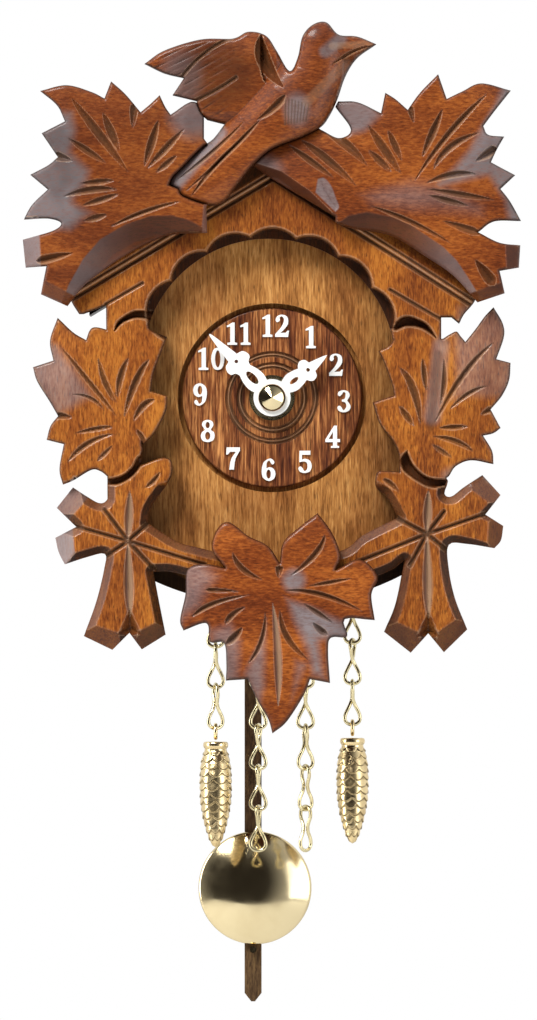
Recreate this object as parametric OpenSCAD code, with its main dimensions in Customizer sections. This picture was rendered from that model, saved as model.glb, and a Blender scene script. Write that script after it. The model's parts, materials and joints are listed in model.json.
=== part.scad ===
// Miniature carved pendulum wall clock with a quartz movement.
// Origin: centre of the hanging hole in the plane of the wall. +Z up, +X right, front towards -Y.

/* [Case] */
// Width over the side boards
case_w = 66; // [66:0.5:68]
// Depth of the side boards, from the wall to the front panel
case_d = 30; // [30:0.5:34]
// Thickness of the side, roof and bottom boards
board_t = 3.5; // [3:0.1:3.6]
// Thickness of the front panel
panel_t = 4; // [4:0.1:5]
// Thickness of the carved frame board
frame_t = 8; // [7:0.5:9]
// Thickness of the leaves in front of the frame
leaf_t = 6; // [5:0.5:7]
// Thickness of the bird
bird_t = 9; // [8:0.5:10]
// Slope of the roof
roof_slope = 30.7; // [28:0.1:32]
// Height of the gable's point
ridge_z = 13.3; // [13:0.1:14]

/* [Dial] */
// Radius of the dial
dial_r = 19; // [18:0.1:19.5]
// Height of the dial's centre
dial_z = -32; // [-33:0.1:-31]
// Radius of the ring of numerals
numeral_r = 15.2; // [14.5:0.1:15.5]
// Height of a numeral
numeral_h = 4.7; // [4:0.1:5]
// Clockwise lean of the ring of numerals, in degrees
numeral_turn = 2.7; // [0:0.1:4]
// Where the minute hand rests, anticlockwise from 12
minute_rest = 44.6; // [0:0.1:360]
// Where the hour hand rests, clockwise from 12
hour_rest = 52.3; // [0:0.1:360]

/* [Pendulum] */
// Sideways place of the pendulum
pendulum_x = -4; // [-5:0.5:-3]
// Height of the pendulum's pivot
pivot_z = -12; // [-12.5:0.5:-11.5]
// Width of the rod
rod_w = 3.6; // [3:0.1:4]
// Thickness of the rod
rod_t = 1.2; // [1:0.1:1.4]
// Height of the rod's pointed end
rod_tip_z = -159.8; // [-162:0.1:-158]
// Radius of the bob
bob_r = 12; // [11:0.1:12.5]
// Height of the bob's centre
bob_z = -135.7; // [-137:0.1:-135]

/* [Chains and weights] */
// Radius of the chain wire
wire_r = 0.45; // [0.4:0.01:0.5]
// Distance from link to link
link_pitch = 8.6; // [8.5:0.1:8.8]
// Links in a chain that carries a weight
weight_links = 4; // [4:1:5]
// Links in a free end of chain
tail_links = 7; // [5:1:8]
// Length of a pine-cone weight below its flange
cone_l = 22.3; // [21:0.1:23]
// Largest radius of a pine-cone weight
cone_r = 3.4; // [3:0.1:3.6]

/* [Movement] */
// Width and height of the movement's casing
movement_w = 56; // [55:0.5:57]
// Depth of the movement's casing
movement_d = 16; // [16:0.1:16.4]
// Wall of the casing
casing_t = 1.2; // [1.1:0.1:1.3]
// Diameter of the battery
battery_d = 14.2; // [14:0.1:14.3]

/* [Hidden] */
$fn = 64;

eps = 0.01;
panel_y = -case_d;                    // back of the front panel
frame_y = panel_y - panel_t;          // back of the carved frame
leaf_y = frame_y - frame_t;           // back of the leaves and the bird
side_x = case_w / 2;
roof_fall = tan(roof_slope);
roof_t = board_t / cos(roof_slope);   // a roof board, measured straight down
roof_z = ridge_z - 1;                 // the roof boards sit just under the carved gable
eave_x = 38.5;
floor_z = -66;                        // underside of the bottom board
panel_curve_z = -16;                  // centre of the panel's curved lower edge
panel_curve_r = 60;

recess_r = dial_r + 0.9;
recess_y = panel_y - 1.2;             // floor of the round recess that holds the dial
dial_t = 1.8;
dial_y = recess_y - dial_t;           // front of the dial
bush_r = 4;                           // threaded bush of the movement
bush_bore_r = 2.05;
hour_pipe_r = 2;
hour_pipe_bore_r = 1.24;
arbor_r = 1.2;
hub_r = 3.9;
hand_t = 0.7;
hour_hand_y = -35.2;
minute_hand_y = -37;

casing_y = panel_y;                   // front face of the casing
casing_back_y = casing_y + movement_d;
casing_split_y = casing_y + 8;
inner_front_y = casing_y + casing_t;
inner_back_y = casing_back_y - casing_t;
casing_top_z = dial_z + movement_w / 2 - 5.5;    // lowered so that it clears the roof
casing_low_z = dial_z - movement_w / 2;
bay_z = casing_low_z + battery_d + 2 * casing_t; // top of the open battery bay
pivot_r = 0.5;
pivot_depth = 0.7;
pivot_play = 0.05;

// Gear trains: every axle's place follows from the tooth counts
motion_m = 0.5;
hour_m = 0.48;
going_m = 0.25;
minute_at = [0, dial_z];
motion_at = minute_at + 12 * [cos(160), sin(160)];
setting_at = motion_at + 12 * [cos(200), sin(200)];
third_at = minute_at + going_m * 45 * [1, 0];
seconds_at = third_at + going_m * 42.5 * [cos(60), sin(60)];
intermediate_at = seconds_at + going_m * 35 * [cos(150), sin(150)];
rotor_at = intermediate_at + going_m * 30 * [cos(170), sin(170)];

lever_y = -11;                        // back face of the pendulum's lever
rod_y = -9.4;                         // back face of the rod
hook_z = -26;
magnet_z = -20.5;
chain_y = -24;
eye_r = 1.4;
eye_wire_r = 0.4;
hang_z = -67;                         // height at which the chains' first links hang
ring_r = 1.6;
contact_gap = 0.03;
left_chain_x = -11.9;
right_chain_x = 17;
left_tail_x = -2.9;
right_tail_x = 7.1;

arch_at = [-0.7, -25.2];
arch_r = 26.7;
scallop_r = 6.8;
scallop_orbit = 22.3;
scallop_step = 20.4;
scallop_depth = 2.6;

// ---- Helpers ----

function flat(p) = [p[0], p[1]];
function is_corner(p) = len(p) == 3;

// Point at t on the curve from b to c, with a before it and d after it
function curve_point(a, b, c, d, t) =
    0.5 * (2 * b + (c - a) * t + (2 * a - 5 * b + 4 * c - d) * t * t
        + (3 * b - a - 3 * c + d) * t * t * t);

// Closed smooth curve through the points; a third value marks a sharp corner
function outline(points, steps = 4) =
    let(n = len(points)) [
        for (i = [0:n - 1])
            let(b = points[i], c = points[(i + 1) % n],
                a = is_corner(b) ? 2 * flat(b) - flat(c) : flat(points[(i + n - 1) % n]),
                d = is_corner(c) ? 2 * flat(c) - flat(b) : flat(points[(i + 2) % n]),
                count = is_corner(b) && is_corner(c) ? 1 : steps)
            for (k = [0:count - 1]) curve_point(a, flat(b), flat(c), d, k / count)];

// The points and their mirror image in the upright axis, as one closed outline
function both_sides(points) = concat(points, [
    for (i = [len(points) - 1:-1:0]) if (points[i][0] > 0)
        is_corner(points[i]) ? [-points[i][0], points[i][1], 1] : [-points[i][0], points[i][1]]]);

function ellipse_points(at, rx, rz, count = 24) = [
    for (i = [0:count - 1]) at + [rx * cos(360 * i / count), rz * sin(360 * i / count)]];

// Upright flat piece: drawn in X and Z, its back at y and its thickness towards the front
module upright(y, thickness) {
    translate([0, y, 0]) rotate([90, 0, 0]) linear_extrude(thickness) children();
}

// Round rod along Y, from its back end at y towards the front
module rod_along_y(at, y, length, r) {
    translate([at[0], y, at[1]]) rotate([90, 0, 0]) cylinder(h = length, r = r);
}

module ring(major, minor) {
    rotate_extrude() translate([major, 0]) circle(r = minor, $fn = 24);
}

// Gear outline with slender teeth that leave backlash, one tooth pointing in direction facing
function gear_points(teeth, m, facing) = [
    for (i = [0:teeth - 1], corner = [[-0.3, -1.15], [-0.11, 0.8], [0.11, 0.8], [0.3, -1.15]])
        let(r = m * (teeth / 2 + corner[1]), a = facing + 360 / teeth * (i + corner[0]))
        r * [cos(a), sin(a)]];

module gear(at, y, thickness, teeth, m, facing) {
    upright(y, thickness) translate(at) polygon(gear_points(teeth, m, facing));
}

// The same gear turned by half a tooth, so that a gap points in direction facing
module meshing_gear(at, y, thickness, teeth, m, facing) {
    gear(at, y, thickness, teeth, m, facing + 180 / teeth);
}

// Thin axle with its ends in both halves of the casing
module axle(at) {
    y = inner_back_y + pivot_depth;
    rod_along_y(at, y, y - inner_front_y + pivot_depth, pivot_r);
}

// ---- Case ----

module roof_board(side) {
    color("saddlebrown") upright(0, -frame_y)
        polygon([
            [0, roof_z], [side * eave_x, roof_z - eave_x * roof_fall],
            [side * eave_x, roof_z - eave_x * roof_fall - roof_t], [0, roof_z - roof_t]]);
}

module left_roof_board() { roof_board(-1); }
module right_roof_board() { roof_board(1); }

module side_board(side) {
    inner_x = side_x - board_t;
    under_roof = roof_z - roof_t;
    color("saddlebrown") upright(0, case_d)
        polygon([
            [side * side_x, floor_z], [side * side_x, under_roof - side_x * roof_fall],
            [side * inner_x, under_roof - inner_x * roof_fall], [side * inner_x, floor_z]]);
}

module left_side_board() { side_board(-1); }
module right_side_board() { side_board(1); }

module front_panel() {
    under_roof = roof_z - roof_t;
    half_angle = asin(side_x / panel_curve_r);
    color([0.3, 0.16, 0.08]) difference() {
        upright(panel_y, panel_t)
            polygon(concat(
                [[side_x, under_roof - side_x * roof_fall], [0, under_roof],
                 [-side_x, under_roof - side_x * roof_fall]],
                [for (a = [-half_angle:half_angle / 12:half_angle + eps])
                    [panel_curve_r * sin(a), panel_curve_z - panel_curve_r * cos(a)]]));
        rod_along_y(minute_at, recess_y, panel_t, recess_r);
        rod_along_y(minute_at, panel_y + 1, panel_t, bush_r);
    }
}

module bottom_board() {
    inner_x = side_x - board_t;
    slot_w = 18;
    slot_d = 10;
    color("saddlebrown") difference() {
        translate([-inner_x, -case_d, floor_z]) cube([2 * inner_x, case_d, board_t]);
        translate([pendulum_x - slot_w / 2, -15, floor_z - 1]) cube([slot_w, slot_d, board_t + 2]);
        for (x = [left_chain_x, left_tail_x, right_tail_x, right_chain_x])
            translate([x, chain_y, floor_z - 1]) {
                cylinder(h = board_t + 2, r = 0.6);
                cylinder(h = recess_depth + 1, r = 2.4);
            }
    }
}

hanger_w = 24;
hanger_h = 10;
hanger_t = 1.2;
hanger_hole_r = 3;
screw_x = 8.5;
screw_r = 0.8;

module back_rail() {
    inner_x = side_x - board_t;
    under_roof = roof_z - roof_t;
    rail_low_z = -14;
    rail_t = 6;
    color("saddlebrown") difference() {
        upright(0, rail_t)
            polygon([
                [-inner_x, rail_low_z], [inner_x, rail_low_z],
                [inner_x, under_roof - inner_x * roof_fall], [0, under_roof],
                [-inner_x, under_roof - inner_x * roof_fall]]);
        translate([-hanger_w / 2, -hanger_t, -hanger_h / 2]) cube([hanger_w, 4, hanger_h]);
        rod_along_y([0, 0], 1, rail_t + 2, hanger_hole_r + 1);
        for (x = [-screw_x, screw_x]) rod_along_y([x, 0], 0, 5, screw_r);
    }
}

module hanger_plate() {
    half = hanger_w / 2;
    under_roof = roof_z - roof_t - 0.3;
    color("silver") difference() {
        upright(0, hanger_t) polygon([
            [-half, -hanger_h / 2], [half, -hanger_h / 2], [half, under_roof - half * roof_fall],
            [(under_roof - hanger_h / 2) / roof_fall, hanger_h / 2],
            [(hanger_h / 2 - under_roof) / roof_fall, hanger_h / 2],
            [-half, under_roof - half * roof_fall]]);
        rod_along_y([0, 0], 1, hanger_t + 2, hanger_hole_r);
        for (x = [-screw_x, screw_x]) {
            rod_along_y([x, 0], 1, hanger_t + 2, screw_r);
            rod_along_y([x, 0], 1, 1.5, 1.8);
        }
    }
}

module hanger_screws() {
    color("silver") for (x = [-screw_x, screw_x]) difference() {
        union() {
            rod_along_y([x, 0], 0, 5, screw_r);
            rod_along_y([x, 0], 0, 0.5, 1.8);
        }
        translate([x - 2, -0.2, -0.2]) cube([4, 1, 0.4]);
    }
}

// ---- Carved frame ----

gable = [
    [0, 20.4], [43.6, -8.6], [42.6, -11.8], [40.4, -14.5], [39.4, -16.4], [37.8, -15.1],
    [35.6, -15.1], [35.6, -54], [27, -54], [26, -20], [-27.4, -20], [-27.4, -56],
    [-34.6, -56], [-34.9, -12.6], [-39.7, -14.4], [-40.6, -14.4], [-42.2, -11.8],
    [-43.4, -8.4]];

left_leaf = [
    [-45.1, -15.2, 1], [-41.8, -18.3], [-39.1, -19.9, 1], [-38.3, -17.8], [-37, -17.2],
    [-34, -17.9, 1], [-31.2, -16.4], [-28.6, -15.6], [-26.2, -15.8], [-25.6, -17.7],
    [-22.1, -19.2, 1], [-23.3, -22.4], [-24.9, -26.8], [-25.5, -30.6, 1], [-22.1, -31.6, 1],
    [-22.3, -34.7], [-24.7, -39.4], [-27, -41.8, 1], [-28.1, -40.2, 1], [-27.2, -43.2],
    [-28.6, -44.7], [-30, -47.3], [-33.6, -49], [-35.9, -47.6], [-38, -47.2], [-41.8, -49.4],
    [-44, -50.3, 1], [-44.7, -47], [-43.8, -41.8, 1], [-47.4, -40.9, 1], [-46.6, -38],
    [-45, -35.9, 1], [-46.8, -32.8], [-49.4, -28.6], [-50.3, -25.6, 1], [-46, -24.2, 1],
    [-46.7, -20]];

right_leaf = [
    [25.9, -18.9], [26.3, -17.9], [28.6, -17.3], [31, -17.7], [33.9, -19.8, 1], [36, -19.6, 1],
    [37.4, -18.7], [38.8, -18.1], [39.6, -19], [40.7, -20.3, 1], [43, -17.4], [44.8, -14.9],
    [46.6, -13, 1], [48.5, -16.3], [48.8, -19.2], [47.2, -23.9, 1], [50.2, -24.7, 1],
    [49.9, -28.3], [48.4, -31.6], [46, -34.5, 1], [48.1, -38.4, 1], [46.6, -39.5],
    [44.4, -40, 1], [46.3, -43.2], [46.6, -46, 1], [41.9, -45.2], [38.6, -46.5], [36.6, -49],
    [32.8, -48.5], [30.1, -46.2], [28.8, -41, 1], [28.3, -42.4], [27.6, -47.4, 1], [25.9, -41.9],
    [22.8, -37.7], [21.2, -33, 1], [25.7, -31.5, 1], [25.2, -29], [23.4, -24.2],
    [22.4, -22.2, 1], [24.8, -20.9]];

left_branches = [
    [-26, -45.6], [-23, -44.6], [-21.2, -45.4], [-21.4, -49], [-25.4, -55], [-26.2, -58.4, 1],
    [-20.1, -62.2], [-15, -63.7], [-8, -65.4, 1], [-8, -72.5, 1], [-20, -68.9], [-25, -68.6, 1],
    [-23.7, -75.4], [-22.4, -81.9, 1], [-27.4, -85, 1], [-30, -81.5, 1], [-33.6, -85.1, 1],
    [-39.6, -82.2, 1], [-37, -75], [-35.3, -68], [-35.2, -64.9], [-39, -65.6], [-43.6, -67.1, 1],
    [-44.9, -64.5], [-45.6, -61.5, 1], [-41.2, -59.2, 1], [-45.3, -55.2, 1], [-41.9, -50.9, 1],
    [-39, -52.8], [-36.3, -54.2], [-34.5, -53.2], [-32, -48, 1]];

right_branches = [
    [36.7, -48.9], [36.3, -52.2], [37.8, -52.8], [40.5, -50.8], [44.3, -48.3, 1],
    [48.1, -52.5, 1], [44.9, -56.6, 1], [48.7, -59, 1], [48.2, -62], [46.8, -63.7, 1],
    [41, -62.8], [37.2, -63], [37.2, -68], [38.5, -74.2], [41.1, -80.8, 1], [36.2, -85.6, 1],
    [32.9, -81.6, 1], [29.2, -85.7, 1], [23.6, -81.3, 1], [26, -75.4], [27.9, -66.2, 1],
    [23.5, -69], [8, -74, 1], [8, -66, 1], [15.4, -63.9], [19.1, -61], [26.6, -57.2, 1],
    [24.1, -52.8], [21.9, -50.8], [22.1, -47.8], [24, -47.4], [27.6, -47.8], [30.3, -49]];

module carved_frame() {
    color([0.62, 0.3, 0.12]) difference() {
        upright(frame_y, frame_t) union() {
            difference() {
                polygon(gable);
                translate(arch_at) circle(r = arch_r);
            }
            polygon(outline(left_leaf));
            polygon(outline(right_leaf));
            polygon(outline(left_branches));
            polygon(outline(right_branches));
        }
        for (i = [-3:3]) {
            a = 88 - scallop_step * i;
            rod_along_y(arch_at + scallop_orbit * [cos(a), sin(a)], leaf_y + scallop_depth,
                scallop_depth + 1, scallop_r);
        }
    }
}

// ---- Crown and bottom leaf ----

bird_shape = [
    [-26.8, 38.1, 1], [-22.6, 40.9], [-15, 43.2], [-8.2, 43.4], [-5, 44.8], [-1.3, 44],
    [1.1, 40.6], [3.7, 36.5], [5.4, 39.4], [6.4, 43.8], [8.6, 46.3], [11.4, 46.8], [14, 44.2],
    [17.9, 43.8], [21.9, 42.2, 1], [17.9, 39.3], [15.5, 35.6], [13.8, 30.8], [12.1, 27.2],
    [10.2, 24.8], [6.2, 22.7], [0, 20.2], [-4, 16.7], [-7.5, 12.3], [-10.2, 9], [-13.4, 8.4],
    [-18.6, 10.2], [-19.7, 11.8, 1], [-21.7, 12.6, 1], [-20.9, 14.3, 1], [-15, 20.3],
    [-12.3, 22.4], [-10, 25.4, 1], [-13.6, 26.3, 1], [-14.9, 27.7], [-15.9, 30.3, 1],
    [-20.9, 31.5, 1], [-18.5, 35.1, 1], [-22.6, 36.1]];

left_crown = [
    [-48.7, 32.4, 1], [-43.2, 33.6], [-38, 32.2], [-35.2, 30.8, 1], [-33.8, 34.4, 1],
    [-30.8, 31.7], [-27.6, 27.9, 1], [-25.6, 29.6], [-23.6, 31.5, 1], [-22.4, 29],
    [-21.3, 27.4, 1], [-17, 30.1], [-14.3, 29, 1], [-14.3, 22.4, 1], [-13, 20.5, 1],
    [-11, 15, 1], [-13.8, 8, 1], [-13.6, 2.6, 1], [-22, 2], [-30, -1.7], [-36.5, -6],
    [-40, -9], [-43, -12.8, 1], [-48.6, -10.3, 1], [-47.4, -4.4, 1], [-51.8, -4.7, 1],
    [-52.4, 1.2, 1], [-46.1, 3], [-44.3, 4.6], [-47, 5.6], [-52.2, 5.4, 1], [-50.4, 8.5],
    [-47.1, 11.7, 1], [-50.8, 14.8, 1], [-47, 16.8], [-45, 18.5, 1], [-48.4, 23.5, 1],
    [-43.5, 26, 1], [-45.2, 29.4]];

right_crown = [
    [13.9, 30.2, 1], [18, 30], [22.9, 27.7, 1], [23.8, 32, 1], [26, 30.6], [28.5, 28.4, 1],
    [31.1, 32], [34.9, 35.9, 1], [36.7, 30.7, 1], [40, 32.3], [44, 34], [50.2, 32.5, 1],
    [46.8, 28.2], [44.4, 25, 1], [45.4, 23.2], [48.8, 22.8, 1], [47.2, 20], [46, 17.4, 1],
    [48.6, 16], [51.1, 14.7, 1], [48, 11.8, 1], [50, 9.2], [52.3, 5.1, 1], [46.7, 5],
    [43.3, 2.7, 1], [47.8, 0.5], [52.2, 0, 1], [51.9, -4.7, 1], [47.8, -5.4, 1],
    [48.9, -10.1, 1], [43.2, -12, 1], [38.1, -6.4], [32.2, -2.3], [25, 2], [17, 3.5],
    [13.3, 4.8, 1], [13.3, 6, 1], [0, 13.9, 1], [-3.9, 16.6, 1], [0, 26, 1], [8, 26, 1],
    [10.2, 24.3, 1], [14.1, 22.5], [16.6, 24.3], [13.3, 29.1, 1]];

low_leaf = [
    [1.6, -66.7, 1], [-0.9, -63.2], [-5, -61.1], [-9.1, -58.2], [-11.6, -59.8], [-12.6, -63.9],
    [-9.9, -67.8, 1], [-14.4, -67], [-17.8, -68.3], [-18.2, -73.4], [-19.3, -78.7],
    [-18.6, -81, 1], [-14.7, -79.5], [-13.4, -80], [-13, -83.4], [-10.1, -83.6], [-9.6, -87.9],
    [-9.7, -91.5, 1], [-5.1, -91.2, 1], [-2.9, -96], [-0.8, -99.6], [0.1, -102.6, 1],
    [3.1, -100.1], [6.7, -94.5], [8, -91.2, 1], [12.2, -92, 1], [11.8, -85.3], [12.4, -82.5],
    [15.8, -82.2], [15.3, -78.6], [21.6, -78.8, 1], [20.9, -73.4], [22.2, -69.6],
    [18.5, -66], [13.4, -68.2, 1], [14.4, -65.2], [12.6, -60.4], [9.6, -56.3, 1], [5.7, -59.3],
    [2.4, -62.4]];

module bird() {
    color([0.55, 0.28, 0.15]) upright(leaf_y, bird_t) polygon(outline(bird_shape));
}

module crown_leaf(points) {
    color([0.55, 0.28, 0.15]) upright(leaf_y, leaf_t) difference() {
        polygon(outline(points));
        polygon(outline(bird_shape));
    }
}

module left_crown_leaf() { crown_leaf(left_crown); }
module right_crown_leaf() { crown_leaf(right_crown); }

module bottom_leaf() {
    color([0.55, 0.28, 0.15]) upright(leaf_y, leaf_t) polygon(outline(low_leaf));
}

// ---- Dial, numerals and hands ----

turned_radii = [9.5, 8.8, 7.2, 6.4]; // the V grooves turned around the dial's middle
turned_w = 0.6;
turned_d = 0.45;

module dial() {
    color([0.42, 0.15, 0.08]) translate([0, recess_y, dial_z]) rotate([90, 0, 0])
        rotate_extrude() polygon(concat(
            [[bush_r, 0], [dial_r, 0], [dial_r, dial_t - 0.4], [dial_r - 0.4, dial_t]],
            [for (r = turned_radii, cut = [-1:1])
                [r - cut * turned_w / 2, dial_t - (cut == 0 ? turned_d : 0)]],
            [[bush_r, dial_t]]));
}

digit_counters = [
    [[3.4, 5], 1.2, 3.8], [[3.4, 7.6], 0.95, 1.4], [[3.4, 2.8], 1.15, 1.8], [[3.5, 3.1], 1, 2]];

digit_shapes = [
    [[3.4, 10], [5.4, 9], [6.4, 5], [5.4, 1], [3.4, 0], [1.4, 1], [0.4, 5], [1.4, 9]],
    [[0.8, 0, 1], [5.2, 0, 1], [5.2, 0.9, 1], [4.1, 1.2, 1], [4.1, 10, 1], [3, 10, 1],
     [0.6, 8.6, 1], [0.6, 7.9, 1], [2.1, 8.2, 1], [2.1, 1.2, 1], [0.8, 0.9, 1]],
    [[0.4, 0, 1], [6.2, 0, 1], [6.6, 2.8, 1], [5.9, 2.8, 1], [5.2, 1.9, 1], [2.7, 1.8, 1],
     [4.6, 3.6], [6.2, 6], [5.8, 9], [3.4, 10], [1.2, 9.2], [0.6, 7.5], [1.4, 6.6], [2.5, 7.4],
     [2.4, 8.7], [3.3, 9.2], [4.2, 8.4], [4.2, 6.6], [2.8, 4], [0.4, 1.3, 1]],
    [[0.5, 2.2], [1.2, 0.6], [3.3, 0], [5.6, 0.7], [6.5, 2.8], [4.9, 5.3, 1], [6.1, 7.6],
     [5.2, 9.4], [3.2, 10], [1.2, 9.3], [0.7, 8], [1.6, 7.2], [2.5, 8], [3.2, 9.1], [4.2, 8.4],
     [3.8, 6.2], [2.5, 5.7, 1], [2.5, 4.8, 1], [4, 4.4], [4.5, 2.6], [3.3, 0.9], [2.4, 2.2],
     [1.4, 3]],
    [[2.7, 0, 1], [6.4, 0, 1], [6.4, 0.8, 1], [5.5, 1, 1], [5.5, 2.6, 1], [6.8, 2.6, 1],
     [6.8, 4, 1], [5.5, 4, 1], [5.5, 10, 1], [4.1, 10, 1], [0.2, 3.8, 1], [0.2, 2.6, 1],
     [3.6, 2.6, 1], [3.6, 1, 1], [2.7, 0.8, 1]],
    [[0.5, 2.2], [1.2, 0.6], [3.3, 0], [5.7, 0.8], [6.5, 3.3], [5.6, 5.6], [3.6, 6.4],
     [2.1, 6, 1], [2.1, 8.2, 1], [5.9, 8.2, 1], [5.9, 10, 1], [1, 10, 1], [0.9, 4.8, 1],
     [3, 5.2], [4.4, 4.4], [4.4, 1.8], [3.2, 0.9], [2.4, 2.2], [1.4, 3]],
    [[6.1, 8.4], [5.2, 9.7], [3.6, 10], [1.3, 8.4], [0.4, 5], [0.9, 1.6], [3.4, 0], [5.8, 0.9],
     [6.6, 3.2], [5.8, 5.4], [4, 6.2], [2.5, 5.6, 1], [2.7, 8.2], [3.8, 9.2], [4.6, 7.9],
     [5.4, 7.4]],
    [[0.6, 10, 1], [6.6, 10, 1], [6.6, 8.6, 1], [4.6, 4.8], [3.9, 0, 1], [1.8, 0, 1],
     [2.6, 4.6], [4.7, 8, 1], [2.2, 8, 1], [1.2, 6.8, 1], [0.4, 6.8, 1]],
    [[3.4, 10], [5.5, 9.2], [5.9, 7.4], [4.8, 5.5], [6.2, 4.4], [6.5, 2.4], [5.6, 0.6],
     [3.4, 0], [1.2, 0.6], [0.3, 2.4], [0.8, 4.4], [2.1, 5.5], [0.9, 7.4], [1.3, 9.2]]];
digit_w = 7;
digit_h = 10;
one_w = 6;

// A digit drawn 7 wide and 10 high
module digit(n) {
    if (n == 9) translate([digit_w, digit_h]) rotate(180) digit(6);
    else difference() {
        polygon(outline(digit_shapes[n], 3));
        if (n == 0) polygon(ellipse_points(digit_counters[0][0], digit_counters[0][1],
            digit_counters[0][2]));
        if (n == 4) polygon([[1.7, 4], [3.6, 4], [3.6, 7.2]]);
        if (n == 6) polygon(ellipse_points(digit_counters[3][0], digit_counters[3][1],
            digit_counters[3][2]));
        if (n == 8) for (c = [digit_counters[1], digit_counters[2]])
            polygon(ellipse_points(c[0], c[1], c[2]));
    }
}

function digit_width(n) = n == 1 ? one_w : digit_w;

// The number with its middle at the origin
module number(n) {
    tens = floor(n / 10);
    units = n % 10;
    width = (tens > 0 ? one_w : 0) + digit_width(units);
    scale(numeral_h / digit_h) translate([-width / 2, -digit_h / 2]) {
        if (tens > 0) digit(tens);
        translate([tens > 0 ? one_w : 0, 0]) digit(units);
    }
}

module numerals() {
    color("white") for (hour = [1:12]) {
        a = 90 - 30 * hour - numeral_turn;
        upright(dial_y, 0.4)
            translate([numeral_r * cos(a), dial_z + numeral_r * sin(a)]) number(hour);
    }
}

module mounting_nut() {
    color([0.6, 0.5, 0.25]) difference() {
        rod_along_y(minute_at, dial_y, 1.2, 4.8);
        rod_along_y(minute_at, dial_y + 1, 4, bush_r);
    }
}

// Pierced spade hand that points up from the origin; slot is its middle, half width and half height
module hand_shape(points, hub_bore, slot, eyelet_z) {
    difference() {
        union() {
            polygon(outline(both_sides(points)));
            circle(r = hub_r);
        }
        circle(r = hub_bore);
        polygon(ellipse_points([0, slot[0]], slot[1], slot[2]));
        translate([0, eyelet_z]) circle(r = 0.4, $fn = 24);
    }
}

minute_shape = [
    [1.7, 3, 1], [2.2, 4.6], [2.1, 6.4], [1.55, 8.2, 1], [1.9, 9, 1], [2.75, 9.5], [2.9, 10.4],
    [2.4, 11.4], [1.2, 11.8, 1], [1.15, 12.3], [0.92, 14], [0.72, 15.4], [0.3, 18.2],
    [0, 18.9, 1]];
hour_shape = [
    [1.4, 3.4, 1], [2, 5.2], [1.85, 6.8], [1.5, 8.1, 1], [2.2, 8.6], [2.5, 9.4], [2.1, 10.3],
    [1.1, 10.7, 1], [0.8, 12], [0.35, 13.8], [0, 14.7, 1]];

module hour_hand() {
    color("white") upright(hour_hand_y, hand_t) translate(minute_at) rotate(-hour_rest)
        hand_shape(hour_shape, hour_pipe_r, [5.9, 0.45, 1.1], 9.6);
}

module minute_hand() {
    color("white") upright(minute_hand_y, hand_t) translate(minute_at) rotate(minute_rest)
        hand_shape(minute_shape, arbor_r, [5.9, 0.75, 1.7], 10.7);
}

module hand_nut() {
    nut_y = minute_hand_y - hand_t;
    color("gold") translate([0, nut_y, dial_z]) rotate([90, 0, 0]) rotate_extrude()
        polygon([[arbor_r, 0], [2.85, 0], [2.85, 0.9], [2.3, 1.5], [1.2, 1.8], [0, 1.9],
            [0, 1.3], [arbor_r, 1.3]]);
}

// ---- Movement casing and electrics ----

axle_places = [motion_at, third_at, seconds_at, intermediate_at, rotor_at];

module movement_front_shell() {
    half = movement_w / 2;
    color("dimgray") difference() {
        union() {
            translate([-half, casing_y, casing_low_z])
                cube([movement_w, casing_split_y - casing_y, casing_top_z - casing_low_z]);
            rod_along_y(minute_at, casing_y, 4.6, bush_r);
        }
        translate([-half + casing_t, inner_front_y, bay_z])
            cube([movement_w - 2 * casing_t, movement_d, casing_top_z - casing_t - bay_z]);
        translate([-half + casing_t, inner_front_y, casing_low_z + casing_t])
            cube([movement_w - 2 * casing_t, movement_d, battery_d]);
        rod_along_y(minute_at, casing_y + 4, 12, bush_bore_r);
        for (at = concat(axle_places, [setting_at]))
            rod_along_y(at, inner_front_y + 1, 1 + pivot_depth + 0.1, pivot_r + pivot_play);
    }
    for (z = [coil_z - 5.5, coil_z])
        rod_along_y([-20.5, z], core_y - core_t, core_y - core_t - inner_front_y, 1.2);
}

module movement_back_cover() {
    half = movement_w / 2;
    depth = casing_back_y - casing_split_y;
    bore_l = 1 + pivot_depth + 0.1;
    low_z = bay_z - casing_t;
    color("dimgray") {
        difference() {
            translate([-half, casing_split_y, low_z])
                cube([movement_w, depth, casing_top_z - low_z]);
            translate([-half + casing_t, casing_split_y - 1, bay_z])
                cube([movement_w - 2 * casing_t, depth - casing_t + 1,
                    casing_top_z - casing_t - bay_z]);
            for (at = axle_places)
                rod_along_y(at, inner_back_y + pivot_depth + 0.1, bore_l, pivot_r + pivot_play);
            rod_along_y(setting_at, casing_back_y + 1, 4, 1.05);
            rod_along_y(minute_at, inner_back_y + pivot_depth + 0.1, bore_l, 0.95);
        }
        rod_along_y([pendulum_x, pivot_z], lever_y + 2, lever_y + 2 - casing_back_y, 1.2);
    }
}

coil_z = -14.2;
core_h = 2.4;
core_t = 1.6;
core_y = -21.2;

module stator() {
    core_x = -22;
    core_w = 23;
    color("silver") upright(core_y, core_t) difference() {
        union() {
            translate(rotor_at) circle(r = 5);
            translate([core_x, coil_z - 7]) square([core_w, 3]);
            translate([core_x, coil_z - core_h / 2]) square([core_w, core_h]);
            translate([core_x, coil_z - 7]) square([3, 7]);
            translate([-1.5, coil_z - 3]) square([2.5, 3 + core_h / 2]);
        }
        translate(rotor_at) circle(r = 3.4);
    }
}

module motor_coil() {
    color([0.6, 0.25, 0.1]) difference() {
        translate([-17, core_y - core_t / 2, coil_z]) rotate([0, 90, 0]) cylinder(h = 13, r = 3.2);
        translate([-18, core_y - core_t, coil_z - core_h / 2]) cube([15, core_t, core_h]);
    }
}

module circuit_board() {
    color("darkgreen") translate([-25, inner_back_y - 0.8, -27]) cube([13, 0.8, 15]);
}

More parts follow.
